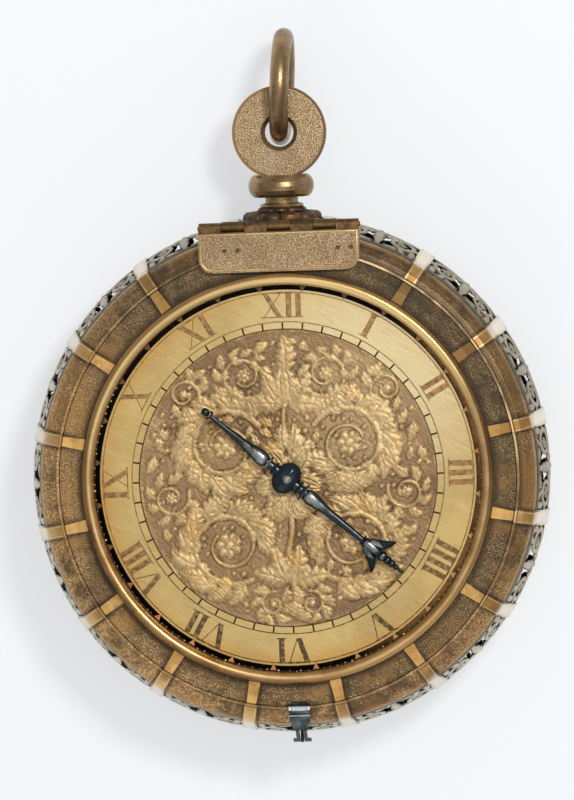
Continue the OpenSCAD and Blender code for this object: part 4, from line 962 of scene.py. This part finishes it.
def band_panel(depth, kind):
    """One panel of openwork, flat: x along the band, y up, z outwards from its inner face."""
    bm = bmesh.new()
    half_high = (BAND_TOP - BAND_LOW) / 2
    half_wide = math.radians(PANEL_TURN) * CASE_R / 2
    mid = depth / 2
    stem = 0.48 + 0.05 * kind
    stamp(bm, flower(6 + kind, 2.7 - 0.2 * kind, depth * 0.75), at(turn=15 * kind), keep=False)
    swirl = rod(scroll_path(3.5, 1.2, 1.5, 24, math.radians(200)), (stem * 1.15, stem * 0.9),
                mid)
    bud = flower(5, 1.25, depth * 0.6)
    small = leaf(3.4, 1.7, depth * 0.5, lobes=3, curl=0.7, thick=depth * 0.5, along=10)
    big = leaf(half_high - 1.6, 2.4, depth * 0.6, lobes=4, thick=depth * 0.5, along=14)
    wide = leaf(half_wide - 2.0, 2.0, depth * 0.6, lobes=3, curl=0.25, thick=depth * 0.5)
    bar = rod([Vector((0, 0, 0)), Vector((0.4, 1.3, 0)), Vector((0.2, 2.8, 0))], (stem, stem), mid)
    for sx in (1, -1):
        for sy in (1, -1):
            corner = Matrix.Diagonal((sx, sy, 1, 1))
            eye = corner @ at(4.7, 4.7, mid)
            stamp(bm, swirl, eye)
            stamp(bm, bud, eye @ at(z=-mid))
            for a, s in ((30, 1.0), (100, 0.9)):
                stamp(bm, small,
                      corner @ at(4.7, 4.7, 0) @ at(turn=a) @ at(3.0, 0, 0, turn=48, size=s))
            for x, y, turn in ((4.6, 7.6, -25), (1.6, 2.2, -50), (7.6, 5.0, -80)):
                stamp(bm, bar, corner @ at(x, y, mid, turn=turn))
    for s in (1, -1):
        stamp(bm, big, at(0, s * 1.4, 0, turn=90 * s, flip=s < 0))
        stamp(bm, wide, at(s * 1.6, 0, 0, turn=0 if s > 0 else 180, flip=kind == 1))
    for shape in (swirl, bud, small, big, wide, bar):
        shape.free()
    return bm


def onto_band(bm, turn, depth):
    """Bends a flat panel round the case."""
    for v in bm.verts:
        x, y, z = v.co
        height = BAND_MID + y
        out = band_at(height) - depth + z
        a = math.radians(turn) + x / CASE_R
        v.co = (out * math.cos(a), out * math.sin(a), height)


class CLOCK_OT_band(bpy.types.Operator):
    """Model the openwork of flowers, leaves and scrolls around the side"""
    bl_idname = "clock.band"
    bl_label = "Openwork band"

    def execute(self, context):
        depth = context.scene.clock_sizes.openwork_depth / MM
        bm = bmesh.new()
        for low, high in ((BAND_LOW, BAND_LOW + RAIL), (BAND_TOP - RAIL, BAND_TOP)):
            inner = [(band_at(h) - depth, h) for h in (high, low)]
            outer = [(band_at(h), h) for h in (low, (low + high) / 2, high)]
            stamp(bm, turned(outer + inner, 128, close=True), keep=False)
        panels = [band_panel(depth, kind) for kind in (0, 1)]
        for i in range(RIBS):
            panel = panels[i % 2].copy()
            if i == RIBS // 4:
                plate = dome(4.6, 0.1, 24)
                bmesh.ops.scale(plate, vec=(1, 1, 4), verts=plate.verts)
                stamp(panel, plate, at(z=depth / 2), keep=False)
            if i % 4 > 1:
                bmesh.ops.scale(panel, vec=(-1, 1, 1), verts=panel.verts)
            onto_band(panel, i * PANEL_TURN, depth)
            stamp(bm, panel, keep=False)
        for panel in panels:
            panel.free()
        make_piece(bm, "band_openwork", "band_grey_metal", "case", ["case_band"])
        return {"FINISHED"}


# Scrolls on the right half of the dial: x, y, radius, turns, where the outer end starts, winding
SCROLLS = ((12.3, -13.2, 8.2, 1.45, 238, 1), (12.4, 6.6, 7.9, 1.4, 150, -1),
           (8.2, 20.6, 4.9, 1.25, 225, 1), (23.6, -3.4, 3.9, 1.15, 160, 1),
           (20.3, 17.2, 3.3, 1.1, 200, -1), (3.9, -25.2, 2.6, 1.1, 100, -1))


class CLOCK_OT_foliage(bpy.types.Operator):
    """Model the scrolling foliage in the middle of the dial"""
    bl_idname = "clock.foliage"
    bl_label = "Dial foliage"

    def execute(self, context):
        rise = context.scene.clock_sizes.relief_rise / MM
        pick = random.Random(11)
        ground = RELIEF_TOP - 0.05
        hole = 1.9
        rings = [hole + (RELIEF_R - 0.5 - hole) * (k / 108) ** 0.9 for k in range(109)]
        outline = [(r, ground) for r in rings] + [
            (RELIEF_R - 0.3, RELIEF_TOP), (RELIEF_R, RELIEF_TOP), (RELIEF_R, RELIEF_LOW),
            (hole, RELIEF_LOW)]
        bm = turned(outline, 560, close=True)
        work = Chasing(bm, ground)
        for v in work.points():
            v.co.z += 0.13 * noise.noise(v.co * 0.28) + 0.06 * noise.noise(v.co * 0.9)
        big = acanthus(8.6, 2.6, 0.5, 5, rise)
        wide = acanthus(6.2, 2.15, 0.8, 4, rise)
        small = acanthus(3.6, 1.25, 0.9, 3, rise * 0.8)
        bud = berry_shape(0.6, rise * 0.8)

        reaches = {big: 9.0, wide: 6.8, small: 4.1}

        def leaf_at(shape, x, y, turn, size=1.0, flip=False, level=0.0):
            if math.hypot(x, y) < RELIEF_R - 1.6:
                work.press(shape, x, y, turn, reaches[shape], size, flip, level)

        def both(shape, x, y, turn, size=1.0, flip=False, level=0.0):
            leaf_at(shape, x, y, turn + pick.uniform(-9, 9), size, flip, level)
            leaf_at(shape, -x, y, 180 - turn + pick.uniform(-9, 9), size, not flip, level)

        axis = [Vector((0.5 * math.sin(k / 9), -27 + k * 0.25, 0)) for k in range(217)]
        work.stem(axis, 0.75, 0.5, rise * 0.8)
        for x, y, radius, turns, start, wind in SCROLLS:
            for side in (1, -1):
                steps = int(radius * 22)
                path = scroll_path(radius, turns * wind, radius * 0.36, steps, math.radians(start))
                points = [Vector((side * (x + p.x), y + p.y, 0)) for p in path]
                work.stem(points, 0.32 + radius * 0.055, 0.34, rise * 0.85)
                work.press(blossom(7, radius * 0.34, rise), side * x, y, 20, radius * 0.4)
            leaves = max(7, int(radius * 1.9))
            for k in range(leaves):
                a = start + wind * 300 * (k + 0.6) / leaves
                out = radius * (1 - 0.5 * ((k + 0.6) / leaves) * 0.62)
                dx, dy = polar(out, a)
                shape = wide if radius > 5 else small
                both(shape, x + dx, y + dy, a + wind * 44, pick.uniform(0.8, 1.05), wind < 0)
                if k % 2 and radius > 4:
                    both(small, x + dx, y + dy, a + wind * 142, 0.8, wind > 0)
        for k in range(10):
            leaf_at(wide, *polar(1.9, k * 36), k * 36, 0.86, k % 2 == 0, 0.04)
        for y, turns in ((-21, (30, 62)), (-8, (35, 70)), (-3.5, (-20, -48)), (5.5, (25, 60)),
                         (14.5, (10, 45, 75))):
            for turn in turns:
                both(big if y < -10 or y > 10 else wide, 0.4, y, turn, 0.92, turn < 40, 0.02)
        leaf_at(big, 0, 21.0, 78, 0.9)
        for k in range(34):
            a = k * 360 / 34 + pick.uniform(-2, 2)
            x, y = polar(RELIEF_R - 2.4, a)
            if work.bare(x, y, 0.8):
                leaf_at(small, x, y, a + pick.choice((100, -100)), pick.uniform(0.9, 1.15),
                        k % 2 == 0)
        spots = [(i * 1.9 + pick.uniform(-0.5, 0.5), k * 1.9 + pick.uniform(-0.5, 0.5))
                 for i in range(-15, 16) for k in range(-15, 16)]
        for reach, shape in ((1.15, small), (0.62, bud)):
            for x, y in spots:
                if 3 < math.hypot(x, y) < RELIEF_R - 1.4 and work.bare(x, y, reach):
                    turn = pick.uniform(0, 360)
                    if shape is small:
                        dx, dy = polar(1.3, turn)
                        leaf_at(small, x - dx, y - dy, turn, pick.uniform(0.75, 1.0), turn > 180)
                    else:
                        work.press(bud, x, y, 0, 1.0, pick.uniform(0.75, 1.1))
        make_piece(bm, "dial_foliage", "dial_foliage_gilding", "case",
                   ["centre_relief"], sharp=75)
        return {"FINISHED"}


# Outline of the hand, as (distance along it, half width)
TAIL_LINE = [
    (-21.9, 0), (-21.8, 0.4), (-21.4, 0.74), (-20.9, 0.8), (-20.5, 0.6), (-20.3, 0.5),
    (-20.2, 1.0), (-19.9, 1.05), (-19.7, 0.95), (-19.6, 0.48), (-19, 0.5), (-17, 0.58),
    (-14, 0.72), (-11.5, 0.9), (-9.5, 1.14), (-8, 1.38), (-6.8, 1.54), (-6, 1.5), (-5.5, 1.25),
    (-5.3, 0.95)]
BACK_COLLARS = [
    (-5.2, 0.95), (-5.1, 1.6), (-4.9, 1.72), (-4.7, 1.6), (-4.6, 1.0), (-4.0, 0.92), (-3.6, 0.98),
    (-3.5, 1.35), (-3.3, 1.45), (-3.1, 1.35), (-3.0, 1.1), (-2.1, 1.1)]
FRONT_COLLARS = [
    (2.0, 1.15), (2.6, 1.15), (2.7, 1.55), (2.9, 1.65), (3.1, 1.5), (3.2, 1.0), (3.6, 0.95),
    (3.9, 1.05), (4.0, 1.85), (4.2, 2.0), (4.4, 1.85), (4.5, 1.0)]
HEAD_LINE = [
    (4.7, 1.0), (4.9, 1.3), (5.5, 1.5), (6.4, 1.5), (7.4, 1.32), (8.6, 1.12), (10.2, 0.94),
    (12.5, 0.82), (15, 0.76), (18, 0.7), (19.1, 0.68), (19.2, 0.95), (19.4, 1.02), (19.6, 0.9),
    (19.7, 0.74), (19.8, 1.0), (20.2, 1.1), (21, 1.2), (22.4, 1.2), (23.4, 0.9), (23.8, 0.7),
    (24.0, 0.98), (24.4, 1.08), (24.9, 0.95), (25.1, 0.66), (25.3, 0.84), (25.7, 0.92),
    (26.1, 0.78), (26.3, 0.56), (26.5, 0.7), (26.9, 0.76), (27.2, 0.6), (27.4, 0.44),
    (27.6, 0.56), (28, 0.6), (28.3, 0.44), (28.5, 0.32), (28.8, 0.42), (29.2, 0.4), (29.5, 0.24),
    (29.7, 0)]


class CLOCK_OT_hand(bpy.types.Operator):
    """Model the turned steel hand with its curled leaves"""
    bl_idname = "clock.hand"
    bl_label = "Hour hand"

    def execute(self, context):
        bm = bmesh.new()
        outline = TAIL_LINE + BACK_COLLARS + FRONT_COLLARS + HEAD_LINE
        lathe = turned([(w, d) for d, w in outline], 32)
        along = Matrix.Diagonal((1, 1, 0.82, 1)) @ Matrix.Rotation(math.radians(90), 4, "Y")
        stamp(bm, lathe, along, keep=False)
        boss = bmesh.new()
        bmesh.ops.create_uvsphere(boss, u_segments=44, v_segments=24, radius=1.0)
        bmesh.ops.scale(boss, vec=(2.65, BOSS_R, 1.55), verts=boss.verts)
        bmesh.ops.translate(boss, vec=(-0.25, 0, 0), verts=boss.verts)
        for v in boss.verts:
            v.co.z += 0.14 * math.exp(-(((v.co.x + 0.25) / 0.3) ** 2)) * (1 if v.co.z > 0.2 else 0)
        stamp(bm, boss, keep=False)
        for s in (1, -1):
            blade = leaf(6.2, 1.9, 0.6, curl=0.95 * s, thick=0.5, along=18, across=6, lift=0.3)
            stamp(bm, blade, at(20.0, s * 0.45, -0.4, turn=s * 10), keep=False)
            under = leaf(3.4, 1.5, 0.55, curl=-0.7 * s, thick=0.45, along=12)
            stamp(bm, under, at(20.4, s * 0.6, 0.1, turn=s * 34), keep=False)
        bmesh.ops.transform(bm, matrix=at(z=HAND_Z, turn=HAND_TURN), verts=bm.verts)
        make_piece(bm, "turned_hand", "hand_steel", "hand", ["hour_hand"])
        return {"FINISHED"}


class CLOCK_OT_pendant(bpy.types.Operator):
    """Model the leafy foot of the pendant"""
    bl_idname = "clock.pendant"
    bl_label = "Pendant foot"

    def execute(self, context):
        count = context.scene.clock_sizes.base_leaves
        low, high, radius = BASE_LOW.y, BASE_HIGH.y, BASE_HIGH.x
        upper = radius * 0.61
        profile = [
            (1.6, low), (radius - 0.9, low), (radius - 0.25, low + 0.35), (radius, low + 1.0),
            (radius - 0.15, low + 1.7), (radius - 0.8, low + 2.25), (radius - 1.8, low + 2.35),
            (radius - 2.7, low + 2.1), (upper + 0.1, low + 1.9), (upper - 0.1, low + 2.1),
            (upper + 0.15, low + 2.5), (upper + 0.05, high - 0.15), (upper - 0.5, high + 0.12),
            (upper - 1.1, high + 0.15), (3.4, high - 0.05), (1.6, high - 0.05)]
        bm = turned(profile, count * 16, close=True)
        for v in bm.verts:
            out = math.hypot(v.co.x, v.co.y)
            if out < 3.6:
                continue
            shift = 0 if out > upper + 0.5 else 0.5
            turns = math.atan2(v.co.y, v.co.x) / (2 * math.pi)
            lobe = abs(math.cos(math.pi * (turns * count + shift)))
            dent = 1 - (0.13 if shift else 0.11) * (1 - lobe ** 0.55)
            top = 0.35 * lobe ** 0.6 if v.co.z > low + 1.2 else 0
            v.co = (v.co.x * dent, v.co.y * dent, v.co.z + top - 0.2 * (top > 0))
        frond = leaf(3.0, 2.3, 0.35, lobes=3, thick=0.16, along=12, across=6)
        slim = leaf(1.7, 1.3, 0.3, lobes=2, thick=0.14, along=8)
        for i in range(count):
            a = i * 360 / count
            fall = Matrix.Rotation(math.radians(14), 4, "Y")
            stamp(bm, frond, at(z=low + 2.35, turn=a) @ at(radius - 3.3, 0) @ fall)
            stamp(bm, slim, at(z=high + 0.05, turn=a + 180 / count) @ at(upper - 1.6, 0) @ fall)
        frond.free()
        slim.free()
        stand = Matrix.Translation((0, 0, BAND_MID)) @ Matrix.Rotation(math.radians(-90), 4, "X")
        bmesh.ops.transform(bm, matrix=stand, verts=bm.verts)
        make_piece(bm, "pendant_leaves", "foot_patina", "case", ["pendant_base"])
        return {"FINISHED"}


class CLOCK_OT_trim(bpy.types.Operator):
    """Model the raised line on the hinge plate and the burrs between the bezel's teeth"""
    bl_idname = "clock.trim"
    bl_label = "Cover trim"

    def execute(self, context):
        sizes = context.scene.clock_sizes
        half = sizes.border_width / MM / 2
        inset = 0.42
        corner = PLATE_CORNER - inset
        x = PLATE_HIGH.x - inset
        top, foot = PLATE_TOP - inset, PLATE_LOW.y + inset
        path = [Vector((-x, top, 0)), Vector((-x, (top + foot) / 2, 0))]
        for side in (-1, 1):
            for k in range(7):
                dx, dy = polar(corner, 180 + 15 * k if side < 0 else 270 + 15 * k)
                path.append(Vector((side * (x - corner) + dx, foot + corner + dy, 0)))
            if side < 0:
                path += [Vector((-x + corner + (2 * (x - corner)) * k / 8, foot, 0))
                         for k in range(1, 8)]
        path += [Vector((x, (top + foot) / 2, 0)), Vector((x, top, 0))]
        path += [Vector((x - 2 * x * k / 10, top, 0)) for k in range(1, 10)]
        bm = bmesh.new()
        stamp(bm, rod(path, (half, half), 0.17, closed=True), at(z=PLATE_HIGH.z), keep=False)
        make_piece(bm, "hinge_plate_line", "line_brass", "cover")

        pick = random.Random(5)
        bm = bmesh.new()
        most = sizes.burr_size / MM
        for i in range(PRONGS):
            for k in range(5):
                burr = dome(pick.uniform(0.45, 1) * most, pick.uniform(0.4, 0.8) * most, 8)
                a = (i + 0.5 + (k + 1) / 6 + pick.uniform(-0.05, 0.05)) * 360 / PRONGS
                if a % 360 < 150:
                    burr.free()
                    continue
                out = BEZEL_IN_R - 0.1 - pick.uniform(0, 0.2)
                stamp(bm, burr, at(z=PRONG_Z + 0.15, turn=a) @ at(out, 0), keep=False)
        make_piece(bm, "bezel_burrs", "line_brass", "cover")
        return {"FINISHED"}


class CLOCK_OT_stage(bpy.types.Operator):
    """Set up the pale floor and the soft light"""
    bl_idname = "clock.stage"
    bl_label = "Stage"

    def execute(self, context):
        bm = bmesh.new()
        bmesh.ops.create_grid(bm, x_segments=2, y_segments=2, size=1.5)
        bmesh.ops.translate(bm, vec=(0, 0, -0.00002), verts=bm.verts)
        mesh = bpy.data.meshes.new("pale_floor")
        bm.to_mesh(mesh)
        bm.free()
        floor = bpy.data.objects.new("pale_floor", mesh)
        context.scene.collection.objects.link(floor)
        f = Finish("floor_card")
        f.tone = f.mix(f.noise(9, 3), (163, 165, 168), (166, 168, 171))
        mesh.materials.append(f.finish(0.0, 0.8))
        f.shader.inputs["Emission Color"].default_value = (0.965, 0.985, 1.0, 1.0)
        f.shader.inputs["Emission Strength"].default_value = FLOOR_GLOW
        for name, place, size, power, tint in (
                ("key", (0.34, 0.38, 0.92), 0.17, 5.0, (1.0, 0.99, 0.97)),
                ("soft", (0.1, 0.05, 1.05), 1.0, 1.9, (1.0, 1.0, 1.0)),
                ("fill", (-0.45, -0.85, 0.75), 1.2, 2.0, (1.0, 1.0, 1.0))):
            data = bpy.data.lights.new(name, "AREA")
            data.shape = "SQUARE"
            data.size = size
            data.energy = power
            data.color = tint
            lamp = bpy.data.objects.new(name, data)
            lamp.matrix_world = (Matrix.Translation(place)
                                 @ Vector(place).to_track_quat("Z", "Y").to_matrix().to_4x4())
            context.scene.collection.objects.link(lamp)
        world = bpy.data.worlds.new("studio")
        world.use_nodes = True
        sky = world.node_tree.nodes["Background"].inputs
        sky["Color"].default_value = (0.945, 0.972, 1.0, 1.0)
        sky["Strength"].default_value = SKY_LIGHT
        context.scene.world = world
        context.scene.view_settings.view_transform = "Standard"
        return {"FINISHED"}


STEPS = (CLOCK_OT_camera, CLOCK_OT_finishes, CLOCK_OT_band, CLOCK_OT_foliage, CLOCK_OT_hand,
         CLOCK_OT_pendant, CLOCK_OT_trim, CLOCK_OT_stage)


class CLOCK_PT_panel(bpy.types.Panel):
    """The steps that build the clock's looks"""
    bl_idname = "CLOCK_PT_panel"
    bl_label = "Round Neck Clock"
    bl_space_type = "VIEW_3D"
    bl_region_type = "UI"
    bl_category = "Clock"

    def draw(self, context):
        layout = self.layout
        for step in STEPS:
            layout.operator(step.bl_idname)
        for group in (context.scene.clock_sizes, context.scene.clock_colours):
            for key in group.bl_rna.properties.keys():
                if key not in ("rna_type", "name"):
                    layout.prop(group, key)


CLASSES = (ClockSizes, ClockColours, *STEPS, CLOCK_PT_panel)


def register():
    """Registers the classes and their settings."""
    for cls in CLASSES:
        bpy.utils.register_class(cls)
    bpy.types.Scene.clock_sizes = PointerProperty(type=ClockSizes)
    bpy.types.Scene.clock_colours = PointerProperty(type=ClockColours)


def unregister():
    """Takes them out again."""
    del bpy.types.Scene.clock_colours
    del bpy.types.Scene.clock_sizes
    for cls in reversed(CLASSES):
        bpy.utils.unregister_class(cls)


def main():
    """Builds every piece."""
    register()
    for step in STEPS:
        group, name = step.bl_idname.split(".")
        getattr(getattr(bpy.ops, group), name)()


if __name__ == "__main__":
    main()
